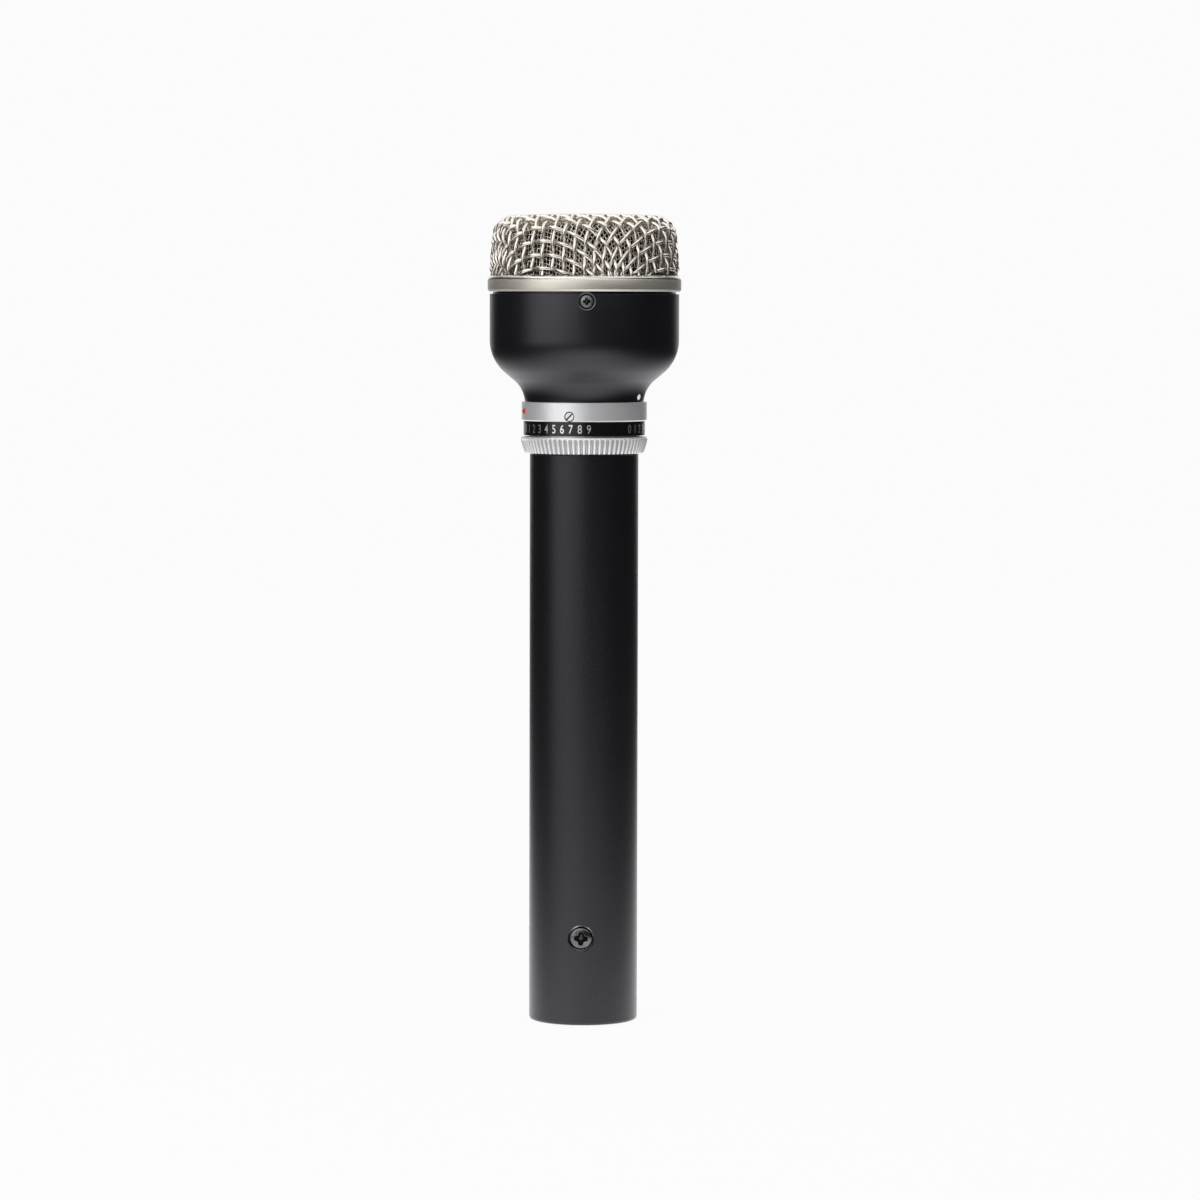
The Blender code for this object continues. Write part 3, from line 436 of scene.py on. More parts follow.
def lathe(name, profile, finish, around=AROUND):
    """A profile of (r, z), down the outer side, turned about Z. It closes on itself unless it
    starts and ends on the axis."""
    solid = profile[0][0] == 0
    rings = profile[1:-1] if solid else profile
    verts = [
        (r * math.cos(2 * math.pi * k / around), r * math.sin(2 * math.pi * k / around), z)
        for r, z in rings
        for k in range(around)
    ]
    spans = list(zip(range(len(rings) - 1), range(1, len(rings))))
    if not solid:
        spans.append((len(rings) - 1, 0))
    faces = [face for a, b in spans for face in joined(a * around, b * around, around)]
    if solid:
        for ring, pole in ((0, profile[0]), (len(rings) - 1, profile[-1])):
            verts.append((0, 0, pole[1]))
            tip = len(verts) - 1
            for k in range(around):
                edge = (ring * around + k, ring * around + (k + 1) % around)
                faces.append((*edge, tip) if ring == 0 else (*edge[::-1], tip))
    return piece(name, verts, faces, finish)


def freeze(obj):
    """Applies the object's modifiers."""
    bpy.context.view_layer.update()
    evaluated = obj.evaluated_get(bpy.context.evaluated_depsgraph_get())
    obj.data = bpy.data.meshes.new_from_object(evaluated)
    obj.modifiers.clear()


def carve(obj, *cutters):
    """Cuts the cutters out of a piece and removes them."""
    for cutter in cutters:
        step = obj.modifiers.new("carve", "BOOLEAN")
        step.operation = "DIFFERENCE"
        step.object = cutter
        step.solver = "EXACT"
    freeze(obj)
    for cutter in cutters:
        bpy.data.objects.remove(cutter, do_unlink=True)


def soften(obj, width, angle=32, segments=3):
    """Rounds every edge sharper than the angle."""
    step = obj.modifiers.new("soften", "BEVEL")
    step.width = width
    step.segments = segments
    step.limit_method = "ANGLE"
    step.angle_limit = math.radians(angle)
    step.use_clamp_overlap = True
    step.harden_normals = True
    obj.data.shade_smooth()
    freeze(obj)


def facing_out(azimuth, height, radius):
    """The matrix that turns +Z outwards and +Y up, at that radius."""
    along = outward(azimuth)
    side = Vector((0, 0, 1)).cross(along)
    turn = Matrix((side, Vector((0, 0, 1)), along)).transposed().to_4x4()
    return Matrix.Translation(along * radius + Vector((0, 0, height))) @ turn


def placed(obj, matrix):
    """Moves the mesh itself, so that the object's origin stays at the frame's."""
    obj.data.transform(matrix)
    return obj


def cylinder(name, radius, low, high, finish, around=64):
    """A solid rod on the Z axis, from low to high."""
    profile = [(0, high), (radius, high), (radius, low), (0, low)]
    return lathe(name, profile, finish, around)


def slab(name, size_x, size_y, low, high, finish):
    """A box round the Z axis, from low to high."""
    verts = [
        (x * size_x / 2, y * size_y / 2, z)
        for z in (low, high) for x, y in ((-1, -1), (1, -1), (1, 1), (-1, 1))
    ]
    faces = [(3, 2, 1, 0), (4, 5, 6, 7)]
    faces += [(i, (i + 1) % 4, (i + 1) % 4 + 4, i + 4) for i in range(4)]
    return piece(name, verts, faces, finish)


def on_body(obj, body, slot, *nodes):
    """Makes a piece ride its body, in place of the CAD nodes named. The slot is not used."""
    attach(obj, body)
    if nodes:
        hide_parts(*nodes)


# ---------------- woven cap

WIRE = 0.80 * MM
PITCH = 2.43 * MM
FINE_WIRE_SIZE = 0.27 * MM
FINE_PITCH = 0.80 * MM
FINE_GAP = 0.05 * MM  # between the two meshes
WEAVE_TURN = -27.0  # azimuth that one family of coarse wires runs towards
FINE_TURN = -38.0
CAP_SHOULDER = 4.2 * MM
CAP_RADIUS = RING_RADIUS - 0.28 * MM
CAP_LEAN = 0.072  # how far the wall leans in for its height
CAP_CROWN = 0.6 * MM  # how far the top falls towards its edge
CAP_TUCK = 0.3 * MM  # how far the wall draws in to enter the ring
CAP_TUCK_HEIGHT = 1.4 * MM
WALL_STRETCH = 1.2  # how much the pressing drew the cells out down the wall
WIDEST_SWING = 1.3  # radians that one cell can turn, up or down, over the shoulder
SWING_HALVINGS = 24
WIDEST_CELL = 0.985  # a cell's half diagonal over its side, at most
NORMAL_STEP = 0.02 * MM


def cap_level(point, inset):
    """Zero on the surface set in from the cap's outside, above zero outside it."""
    r = math.hypot(point.x, point.y)
    above_ring = point.z - RING_TOP
    tuck = max(0, min(1, 1 - above_ring / CAP_TUCK_HEIGHT)) ** 2 * CAP_TUCK
    side = r + CAP_LEAN * above_ring + tuck - (CAP_RADIUS - CAP_SHOULDER)
    rise = point.z + CAP_CROWN * (r / CAP_RADIUS) ** 2 - (CAP_TOP - CAP_SHOULDER)
    corner = math.hypot(max(side, 0), max(rise, 0))
    return corner + min(max(side, rise), 0) - (CAP_SHOULDER - inset)


def cap_normal(point, inset):
    """The way the cap's surface faces near a point, from how fast its level climbs."""
    here = cap_level(point, inset)
    steps = (
        Vector((NORMAL_STEP, 0, 0)), Vector((0, NORMAL_STEP, 0)), Vector((0, 0, NORMAL_STEP)),
    )
    return Vector([cap_level(point + step, inset) - here for step in steps]).normalized()


def drawn(point):
    """Where a point of the cap goes when the pressing stretches the sheet down the wall."""
    return Vector((point.x, point.y, CAP_TOP + (point.z - CAP_TOP) * WALL_STRETCH))


def swing(centre, ahead, up, distance, inset):
    """The point of the surface at a distance from the centre, found by turning ahead to up."""
    low, high = -WIDEST_SWING, WIDEST_SWING
    for _ in range(SWING_HALVINGS):
        angle = (low + high) / 2
        point = centre + distance * (math.cos(angle) * ahead + math.sin(angle) * up)
        if cap_level(drawn(point), inset) > 0:
            high = angle
        else:
            low = angle
    return point


def spine(azimuth, pitch, inset, foot):
    """Crossings a pitch apart, from the cap's pole down to its foot at one azimuth."""
    across = Vector((0, 0, 1)).cross(outward(azimuth))
    start = Vector((0, 0, CAP_TOP - inset))
    ahead = outward(azimuth)
    points = [start]
    while drawn(points[-1]).z > foot:
        up = ahead.cross(across)
        if up.dot(cap_normal(drawn(points[-1]), inset)) < 0:
            up = -up
        points.append(swing(points[-1], ahead, up, pitch, inset))
        ahead = (points[-1] - points[-2]).normalized()
    return points


def crossing(a, b, behind, pitch, inset):
    """The surface point a pitch from both a and b, away from behind, or None if they are too
    far apart."""
    apart = b - a
    half = apart.length / 2
    if half > WIDEST_CELL * pitch:
        return None
    centre = (a + b) / 2
    axis = apart.normalized()
    ahead = centre - behind
    ahead = (ahead - axis * ahead.dot(axis)).normalized()
    up = axis.cross(ahead)
    if up.dot(cap_normal(drawn(centre), inset)) < 0:
        up = -up
    return swing(centre, ahead, up, math.sqrt(pitch * pitch - half * half), inset)


def draped_net(turn, pitch, inset, foot):
    """Crossings of a woven sheet of square cells pressed over the cap, without stretching the
    wires: each cell shears until its far corner meets the surface. The four quarters match."""
    quarter = {}
    for i, point in enumerate(spine(turn, pitch, inset, foot)):
        quarter[i, 0] = point
    for j, point in enumerate(spine(turn + 90, pitch, inset, foot)):
        quarter[0, j] = point
    far = max(i for i, j in quarter) * 3
    for i in range(1, far):
        for j in range(1, far):
            a, b = quarter.get((i - 1, j)), quarter.get((i, j - 1))
            if not a or not b or min(drawn(a).z, drawn(b).z) < foot:
                continue
            point = crossing(a, b, quarter[i - 1, j - 1], pitch, inset)
            if point:
                quarter[i, j] = point
    net = {}
    for quadrant in range(4):
        spin = Matrix.Rotation(quadrant * math.pi / 2, 3, "Z")
        for (i, j), point in quarter.items():
            for _ in range(quadrant):
                i, j = -j, i
            net[i, j] = spin @ drawn(point)
    return net


def wires_of(net, family):
    """The net's wires one way, each a list of (crossing, above), in order."""
    lines = {}
    for (i, j), point in net.items():
        line, along = (i, j) if family == 0 else (j, i)
        above = 1 if (i + j + family) % 2 else -1
        lines.setdefault(line, []).append((along, point, above))
    wires = []
    for line in sorted(lines):
        run = []
        for along, point, above in sorted(lines[line], key=lambda stop: stop[0]):
            if run and along != run[-1][0] + 1:
                wires.append(run)
                run = []
            run.append((along, point, above))
        wires.append(run)
    return [[(point, above) for _, point, above in run] for run in wires if len(run) > 1]


def spline(a, b, c, d, t):
    """The point at t, from zero to one, on a smooth curve from b to c."""
    return 0.5 * (2 * b + (c - a) * t + (2 * a - 5 * b + 4 * c - d) * t * t
                  + (3 * b - a - 3 * c + d) * t ** 3)


def crimped(wire, size, inset, foot, steps):
    """Points along a wire that bends over and under the ones it crosses, with the surface's
    normal at each, down to the foot."""
    points = [stop[0] for stop in wire]
    points = [2 * points[0] - points[1], *points, 2 * points[-1] - points[-2]]
    normals = [cap_normal(stop[0], inset) for stop in wire]
    path = []
    for k in range(len(wire) - 1):
        last = k == len(wire) - 2
        for i in range(steps + last):
            t = i / steps
            along = spline(*points[k:k + 4], t)
            normal = normals[k].lerp(normals[k + 1], t).normalized()
            rise = wire[k][1] * size / 2 * math.cos(math.pi * t)
            if along.z > foot:
                path.append((along + normal * rise, normal))
    return path


def tubes(name, paths, radius, sides, finish):
    """Round wires along their paths, all in one mesh."""
    verts, faces = [], []
    for path in paths:
        first = len(verts)
        for k, (point, normal) in enumerate(path):
            ahead = path[min(k + 1, len(path) - 1)][0] - path[max(k - 1, 0)][0]
            side = ahead.cross(normal).normalized()
            up = side.cross(ahead).normalized()
            for s in range(sides):
                angle = 2 * math.pi * s / sides
                verts.append(point + radius * (math.cos(angle) * side + math.sin(angle) * up))
        for k in range(len(path) - 1):
            faces += joined(first + k * sides, first + (k + 1) * sides, sides)
        last = first + (len(path) - 1) * sides
        faces.append(tuple(range(first, first + sides)))
        faces.append(tuple(reversed(range(last, last + sides))))
    made = piece(name, verts, faces, finish)
    mesh = bmesh.new()
    mesh.from_mesh(made.data)
    bmesh.ops.recalc_face_normals(mesh, faces=mesh.faces)
    mesh.to_mesh(made.data)
    mesh.free()
    return made


def weave(node, turn, pitch, size, inset, steps, sides, finish):
    """Both families of wires of one mesh, which together stand for the node."""
    foot = bottom(node) + size
    net = draped_net(turn, pitch, inset, foot)
    for family, word in enumerate(("warp", "weft")):
        paths = [crimped(wire, size, inset, foot, steps) for wire in wires_of(net, family)]
        paths = [path for path in paths if len(path) > 2]
        wires = tubes(f"{node}_{word}", paths, size / 2, sides, finish)
        on_body(wires, "microphone", "nickel", node)


def make_cap():
    """The coarse mesh, and the fine one just under it."""
    weave("grille_mesh_outer", WEAVE_TURN, PITCH, WIRE, inset=WIRE, steps=7, sides=8,
          finish=NICKEL_WIRE)
    fine_inset = 2 * WIRE + FINE_GAP + FINE_WIRE_SIZE
    steps, sides = ((3, 5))
    weave("grille_mesh_inner", FINE_TURN, FINE_PITCH, FINE_WIRE_SIZE, fine_inset, steps, sides,
          FINE_WIRE)


# ---------------- ring and housing

RING_GAP = 0.5 * MM  # from the housing's edge up to the ring
RING_WALL = 0.5 * MM
RING_BEVEL = 0.88 * MM  # height of the bright bevel at the ring's top
SKIRT_INSET = 2.1 * MM  # of the ring's hidden skirt, which enters the housing
SKIRT_WALL = 1.05 * MM


def make_grille_ring():
    """The satin ring with its hidden skirt, and the bright bevel on top as its own piece."""
    low, floor = top("head_housing") + RING_GAP, bottom("grille_ring")
    bore, seat = RING_RADIUS - RING_WALL, bottom("grille_mesh_outer") - 0.15 * MM
    shoulder = RING_TOP - RING_BEVEL
    edge, undercut, undercut_height = 0.04 * MM, 0.3 * MM, 0.45 * MM
    skirt = RING_RADIUS - SKIRT_INSET
    skirt_bore = skirt - SKIRT_WALL
    profile = [
        (bore, shoulder),
        (RING_RADIUS - edge, shoulder),
        (RING_RADIUS, shoulder - 2 * edge),
        (RING_RADIUS, low + undercut_height),
        (RING_RADIUS - undercut, low),
        (skirt, low),
        (skirt, floor),
        (skirt_bore, floor),
        (skirt_bore, seat),
        (bore, seat),
    ]
    ring = lathe("grille_ring_turned", profile, NICKEL_RING)
    soften(ring, 0.05 * MM)
    on_body(ring, "microphone", "nickel", "grille_ring")
    crisp = 0.02 * MM
    bright = lathe("grille_ring_edge", [
        (bore, RING_TOP - crisp), (bore + crisp, RING_TOP),
        (RING_RADIUS - 0.03 * MM, shoulder), (bore, shoulder),
    ], NICKEL_EDGE)
    on_body(bright, "microphone", "nickel", "grille_ring")


BOWL_ARC_Z = 148.2 * MM  # height of the arc's centre
BOWL_ARC_RADIUS = 9.3 * MM
NECK_ARC_Z = 134.4 * MM
NECK_ARC_RADIUS = 6.5 * MM
NECK_RADIUS = 12.9 * MM
NECK_WALL = 1.9 * MM
COLLAR_FACE = top("control_ring") - 0.3 * MM
NECK_GAP = 0.15 * MM  # dark line between the neck and the collar's face
NECK_BORE_LENGTH = 6.0 * MM
HOUSING_WALL = 1.5 * MM


def housing_profile():
    """From the step inside the ring down the outside: a straight wall, the bowl's arc, a
    straight line that touches both arcs, the neck's arc and a rebate above the collar. Then
    back up the inside."""
    high, low = top("head_housing"), COLLAR_FACE + NECK_GAP
    bowl_r, neck_r = HOUSING_RADIUS - BOWL_ARC_RADIUS, NECK_RADIUS + NECK_ARC_RADIUS
    inwards, down = neck_r - bowl_r, BOWL_ARC_Z - NECK_ARC_Z
    turn = math.atan2(down, inwards)
    turn -= math.acos((BOWL_ARC_RADIUS + NECK_ARC_RADIUS) / math.hypot(inwards, down))
    lowest = math.pi - math.asin((low - NECK_ARC_Z) / NECK_ARC_RADIUS)
    edge = 0.12 * MM
    inside = NECK_RADIUS - NECK_WALL
    step, step_top = HOUSING_RADIUS - 0.7 * MM, high + RING_GAP - 0.08 * MM
    rebate, rebate_low = NECK_RADIUS - 0.35 * MM, COLLAR_FACE + 0.03 * MM
    skirt, neck_end = COLLAR_RADIUS - 1.4 * MM, bottom("head_housing")
    return [
        (step, step_top),
        (step, high),
        *arc(HOUSING_RADIUS - edge, high - edge, edge, math.pi / 2, 0, 4),
        *arc(bowl_r, BOWL_ARC_Z, BOWL_ARC_RADIUS, 0, -turn, 36),
        *arc(neck_r, NECK_ARC_Z, NECK_ARC_RADIUS, math.pi - turn, lowest, 24),
        (rebate, low),
        (rebate, rebate_low),
        (skirt, rebate_low),
        (skirt, neck_end),
        (inside, neck_end),
        (inside, low + NECK_BORE_LENGTH),
        *arc(bowl_r, BOWL_ARC_Z, BOWL_ARC_RADIUS - HOUSING_WALL, -turn, 0, 8),
        (HOUSING_RADIUS - HOUSING_WALL, step_top),
    ]


HEAD_SCREW_RAISED = 0.12 * MM  # above the middle of its node
HEAD_SCREW_TURNS = (4, 31, 58)  # degrees, how each of the three crosses came to rest
HEAD_SCREW_RADIUS = 1.34 * MM
HEAD_SCREW_DOME = 0.30 * MM
COUNTERBORE_RADIUS = 1.92 * MM
COUNTERBORE_DEPTH = 0.95 * MM
SEAT_RADIUS = 1.72 * MM  # inside of the worn ring in the counterbore's mouth


def make_housing():
    """The shell with its three counterbores, then what sits in and on it."""
    housing = lathe("housing_shell", housing_profile(), SATIN_BLACK, AROUND_LARGE)
    height = middle("head_screw_1").z + HEAD_SCREW_RAISED
    floor = HOUSING_RADIUS - COUNTERBORE_DEPTH
    azimuths = [HEAD_SCREW_AZIMUTH + 120 * number for number in range(3)]
    carve(housing, *[
        placed(cylinder("counterbore", COUNTERBORE_RADIUS, 0, 4 * MM, SATIN_BLACK),
               facing_out(azimuth, height, floor))
        for azimuth in azimuths
    ])
    soften(housing, 0.10 * MM, 50)
    on_body(housing, "microphone", "housing_paint", "head_housing")
    for number, (azimuth, turn) in enumerate(zip(azimuths, HEAD_SCREW_TURNS), 1):
        make_seat(number, facing_out(azimuth, height, HOUSING_RADIUS))
        cross_screw(
            f"head_screw_turned_{number}", f"head_screw_{number}", HEAD_SCREW_RADIUS,
            HEAD_SCREW_DOME, -1.2 * MM, WORN_BLACK, turn,
            facing_out(azimuth, height, floor + 0.40 * MM),
        )
    make_white_dot()


def make_seat(number, mouth):
    """The ring, worn bright, in the mouth of one counterbore."""
    foot = -0.9 * MM
    seat = lathe(f"head_screw_seat_{number}", [
        (SEAT_RADIUS, -0.26 * MM), (COUNTERBORE_RADIUS - 0.03 * MM, -0.09 * MM),
        (COUNTERBORE_RADIUS, -0.12 * MM), (COUNTERBORE_RADIUS, foot), (SEAT_RADIUS, foot),
    ], WORN_BLACK, AROUND_SMALL)
    placed(seat, mouth)
    on_body(seat, "microphone", "housing_paint", "head_housing")


def make_white_dot():
    """The dot on the neck, leaning back with the neck's arc."""
    up = middle("white_index_dot").z - NECK_ARC_Z
    neck = NECK_RADIUS + NECK_ARC_RADIUS - math.sqrt(NECK_ARC_RADIUS ** 2 - up ** 2)
    make_dot("white_index_paint", "white_index_dot", WHITE_DOT_AZIMUTH, neck, WHITE_DOT_GLOWING,
             "microphone", "white_paint", 0.16 * MM, math.asin(up / NECK_ARC_RADIUS))


def make_dot(name, node, azimuth, radius, finish, body, slot, proud, lean=0.0):
    """A domed spot of enamel where the node is, proud of the surface, which leans down."""
    size, root = (top(node) - bottom(node)) / 2 + 0.06 * MM, -0.3 * MM
    dot = lathe(name, [
        (0, proud), (size * 0.5, proud * 0.95), (size * 0.88, proud * 0.65), (size, proud * 0.2),
        (size, root), (0, root),
    ], finish, 40)
    placed(dot, facing_out(azimuth, middle(node).z, radius) @ Matrix.Rotation(lean, 4, "X"))
    on_body(dot, body, slot, node)


# ---------------- screws

def cross_prism(name, arm, width, low, high, finish, turn):
    """A four-armed star round the z axis, a little narrower at its low end."""
    outline = []
    for quarter in range(4):
        spin = Matrix.Rotation(turn + quarter * math.pi / 2, 3, "Z")
        for x, y in ((arm, -width / 2), (arm, width / 2), (width * 0.85, width * 0.85)):
            outline.append(spin @ Vector((x, y, 0)))
    verts = [
        (point.x * scale, point.y * scale, z)
        for scale, z in ((0.8, low), (1, high)) for point in outline
    ]
    count = len(outline)
    faces = [tuple(reversed(range(count))), tuple(range(count, 2 * count))]
    faces += [(n, (n + 1) % count, (n + 1) % count + count, n + count) for n in range(count)]
    return piece(name, verts, faces, finish)


def cross_screw(name, node, radius, height, root, finish, degrees, matrix):
    """A low domed screw head whose rim is at z = 0, with a cross recess turned by some degrees
    and a black cross in the recess as its own piece, painted shade for the recess."""
    dome = [
        (radius * math.cos(a), height * math.sin(a))
        for a in (math.radians(d) for d in range(84, -1, -12))
    ]
    head = lathe(name, [(0, height), *dome, (radius, root), (0, root)], finish, AROUND_SMALL)
    turn = math.radians(degrees)
    arm, width = radius * 0.62, radius * 0.32
    floor, shade_top, above = root * 0.85, height * 0.35, height * 1.4
    carve(head, cross_prism("recess", arm, width, floor, above, finish, turn))
    soften(head, radius * 0.035, 35, 2)
    # A black cross just inside the recess, filled most of the way up: painted shade that stands
    # in for the recess's shadow.
    clear = 0.03 * MM
    dark = cross_prism(f"{name}_recess", arm - clear, width - clear, floor + clear, shade_top,
                       GLOSS_BLACK, turn)
    for shape in (head, dark):
        placed(shape, matrix)
        on_body(shape, "microphone", "screw_black", node)


# ---------------- collar

DRIVE_HOLE_RADIUS = 1.1 * MM
DRIVE_SCREW_RADIUS = 0.88 * MM
DRIVE_SLOT = 0.32 * MM
DRIVE_SUNK = 0.10 * MM  # how far the screw's face is below the collar's


def make_control_ring():
    """The smooth ring, with its small screw and red dot."""
    node = "control_ring"
    low, high = bottom(node), COLLAR_FACE
    bore, edge, top_edge = COLLAR_RADIUS - 1.5 * MM, 0.22 * MM, 0.07 * MM
    profile = [
        (bore, high),
        (COLLAR_RADIUS - top_edge, high),
        (COLLAR_RADIUS, high - top_edge),
        (COLLAR_RADIUS, (high + low) / 2),
        (COLLAR_RADIUS, low + edge),
        (COLLAR_RADIUS - edge, low),
        (bore, low),
    ]
    ring = lathe("control_ring_turned", profile, TURNED_ALUMINIUM, AROUND_LARGE)
    height = middle("drive_screw").z
    bore_cutter = cylinder("screw_hole", DRIVE_HOLE_RADIUS, -2 * MM, 2 * MM, TURNED_ALUMINIUM)
    placed(bore_cutter, facing_out(DRIVE_SCREW_AZIMUTH, height, COLLAR_RADIUS))
    carve(ring, bore_cutter)
    soften(ring, 0.04 * MM, 30, 2)
    on_body(ring, "collar", "collar_metal", node)
    make_drive_screw(height)
    make_dot("red_index_paint", "red_index_dot", RED_DOT_AZIMUTH, COLLAR_RADIUS, DOT_RED,
             "collar", "red_paint", 0.34 * MM)


def make_drive_screw(height):
    """A slotted screw in the ring, and a black ring sunk in its hole as painted shade for the gap
    round it.
    """
    screw = cylinder("drive_screw_turned", DRIVE_SCREW_RADIUS, -3 * MM, 0, STEEL_SCREW)
    slot = slab("slot", 3 * MM, DRIVE_SLOT, -0.9 * MM, 1 * MM, STEEL_SCREW)
    placed(slot, Matrix.Rotation(math.radians(45), 4, "Z"))
    carve(screw, slot)
    soften(screw, 0.06 * MM, 30, 2)
    sunk = facing_out(DRIVE_SCREW_AZIMUTH, height, COLLAR_RADIUS - DRIVE_SUNK)
    placed(screw, sunk)
    # The black ring stands for the gap's shadow: painted shade, sunk just below the ring's face.
    gap_shade = cylinder("drive_screw_gap_shade", DRIVE_HOLE_RADIUS + 0.05 * MM, -1.2 * MM, -0.16 * MM,
                   INSULATOR)
    placed(gap_shade, sunk)
    on_body(gap_shade, "collar", "collar_metal", "control_ring")
    on_body(screw, "collar", "bright_steel", "drive_screw")


DIGIT_HEIGHT = 1.85 * MM
DIGIT_SPACING = 1.96 * MM
DIGIT_NARROW = 0.78  # of the font's own width
DIGIT_BOLDER = 0.015 * MM  # added all round each stroke
DIGIT_DEPTH = 0.02 * MM  # above and below its middle plane
DIGIT_SUNK = 0.01 * MM
FONT_SHARE = 0.73  # a figure's height in the font's size
FIRST_DIGIT_AZIMUTH = -72.0
SCALE_REPEATS = 3


def digit_mesh(figure):
    """One figure as (points, faces), centred, as tall as DIGIT_HEIGHT and slightly narrow."""
    curve = bpy.data.curves.new("figure", "FONT")
    curve.body = figure
    curve.size = DIGIT_HEIGHT / FONT_SHARE
    curve.extrude = DIGIT_DEPTH
    curve.offset = DIGIT_BOLDER
    curve.resolution_u = 6
    holder = new_object("figure", curve)
    bpy.context.view_layer.update()
    data = bpy.data.meshes.new_from_object(
        holder.evaluated_get(bpy.context.evaluated_depsgraph_get())
    )
    points = [v.co.copy() for v in data.vertices]
    faces = [tuple(p.vertices) for p in data.polygons]
    bpy.data.objects.remove(holder, do_unlink=True)
    low = Vector([min(p[i] for p in points) for i in range(3)])
    high = Vector([max(p[i] for p in points) for i in range(3)])
    scale = DIGIT_HEIGHT / (high.y - low.y)
    centre = (low + high) / 2
    points = [
        Vector(((p.x - centre.x) * DIGIT_NARROW * scale, (p.y - centre.y) * scale, p.z - low.z))
        for p in points
    ]
    return points, faces


def make_band():
    """The black band, with its scale."""
    node = "label_band"
    low, high, bore = bottom(node), top(node), BAND_RADIUS - 1 * MM
    outline = [(BAND_RADIUS, high), (BAND_RADIUS, low), (bore, low), (bore, high)]
    band = lathe("scale_band", outline, GLOSS_BLACK)
    soften(band, 0.05 * MM)
    on_body(band, "collar", "band_black", node)
    make_scale((low + high) / 2)


def make_scale(height):
    """The figures 0 to 9, several times round the band, wrapped onto it."""
    verts, faces = [], []
    figures = [digit_mesh(str(n)) for n in range(10)]
    step = DIGIT_SPACING / BAND_RADIUS
    for repeat in range(SCALE_REPEATS):
        start = math.radians(FIRST_DIGIT_AZIMUTH + 360 * repeat / SCALE_REPEATS)
        for n, (points, corners) in enumerate(figures):
            first = len(verts)
            for p in points:
                angle = start + n * step + p.x / BAND_RADIUS
                radius = BAND_RADIUS + p.z - DIGIT_SUNK
                spot = outward(math.degrees(angle)) * radius
                verts.append(spot + Vector((0, 0, height + p.y)))
            faces += [tuple(first + c for c in corner) for corner in corners]
    scale = piece("scale_figures", verts, faces, SCALE_SILVER)
    scale.data.shade_flat()
    on_body(scale, "collar", "white_paint")


GRIP_RIBS = 72
RIB_DEPTH = 0.7 * MM
RIB_STEPS = 12  # points across one rib and its valley
RIB_FLATNESS = 0.85  # 0.5 is a plain wave, and more of it flattens crests and grooves
GRIP_LIP = 0.38 * MM  # the plain edge above the ribs
# colour of the painted shade in the grooves between the ribs
GROOVE_SHADE = (0.50, 0.505, 0.52)


def grip_outline(low, high):
    """(radius, height, rib depth) down the outside of the grip ring."""
    lip = GRIP_LIP
    return [
        (GRIP_RADIUS - 0.14 * MM, high, 0),
        (GRIP_RADIUS - 0.07 * MM, high - 0.05 * MM, 0),
        (GRIP_RADIUS - 0.06 * MM, high - 0.16 * MM, 0),
        (GRIP_RADIUS - 0.12 * MM, high - lip * 0.8, 0),
        (GRIP_RADIUS - 0.10 * MM, high - lip, RIB_DEPTH * 0.6),
        (GRIP_RADIUS, high - lip - 0.12 * MM, RIB_DEPTH),
        (GRIP_RADIUS - 0.06 * MM, high - lip - 0.5 * MM, RIB_DEPTH),
        (GRIP_RADIUS - 0.17 * MM, low + 2.2 * MM, RIB_DEPTH),
        (GRIP_RADIUS - 0.34 * MM, low + 1.6 * MM, RIB_DEPTH),
        (GRIP_RADIUS - 0.57 * MM, low + 0.9 * MM, RIB_DEPTH),
        (GRIP_RADIUS - 0.76 * MM, low + 0.35 * MM, RIB_DEPTH),
        (GRIP_RADIUS - 0.87 * MM, low + 0.08 * MM, RIB_DEPTH),
        (GRIP_RADIUS - 0.95 * MM, low, RIB_DEPTH * 0.8),
    ]


def make_grip_ring():
    """The knurled ring: its ribs are flat-topped waves that fade out at the lip."""
    node = "grip_ring"
    low, high = bottom(node), top(node) - 0.2 * MM
    bore = BAND_RADIUS - 1.15 * MM
    around = GRIP_RIBS * RIB_STEPS
    waves = [0.5 + RIB_FLATNESS * math.cos(2 * math.pi * k / RIB_STEPS) for k in range(RIB_STEPS)]
    shape = [max(0.0, min(1.0, wave)) for wave in waves]
    rings = [*grip_outline(low, high), (bore, low, 0), (bore, high, 0)]
    verts = []
    for radius, z, depth in rings:
        for k in range(around):
            r = radius - depth * (1 - shape[k % RIB_STEPS])
            angle = 2 * math.pi * k / around
            verts.append((r * math.cos(angle), r * math.sin(angle), z))
    faces = []
    for a in range(len(rings)):
        b = (a + 1) % len(rings)
        faces += joined(a * around, b * around, around)
    # Painted shade darkens the grooves between the ribs, below the lip.
    darken_grooves(KNURLED_ALUMINIUM, GRIP_RIBS, high - GRIP_LIP, GROOVE_SHADE)
    ring = piece("grip_ring_knurled", verts, faces, KNURLED_ALUMINIUM)
    ring.data.set_sharp_from_angle(angle=math.radians(50))
    on_body(ring, "collar", "collar_metal", node)


# ---------------- handle and connector

FOOT_ROUND = 0.55 * MM  # height of the tube's rounded lower edge
XLR_HOLE_RADIUS = 2.88 * MM
XLR_SCREW_RADIUS = 2.5 * MM
XLR_SCREW_DOME = 0.62 * MM
XLR_SCREW_TURN = -3  # degrees


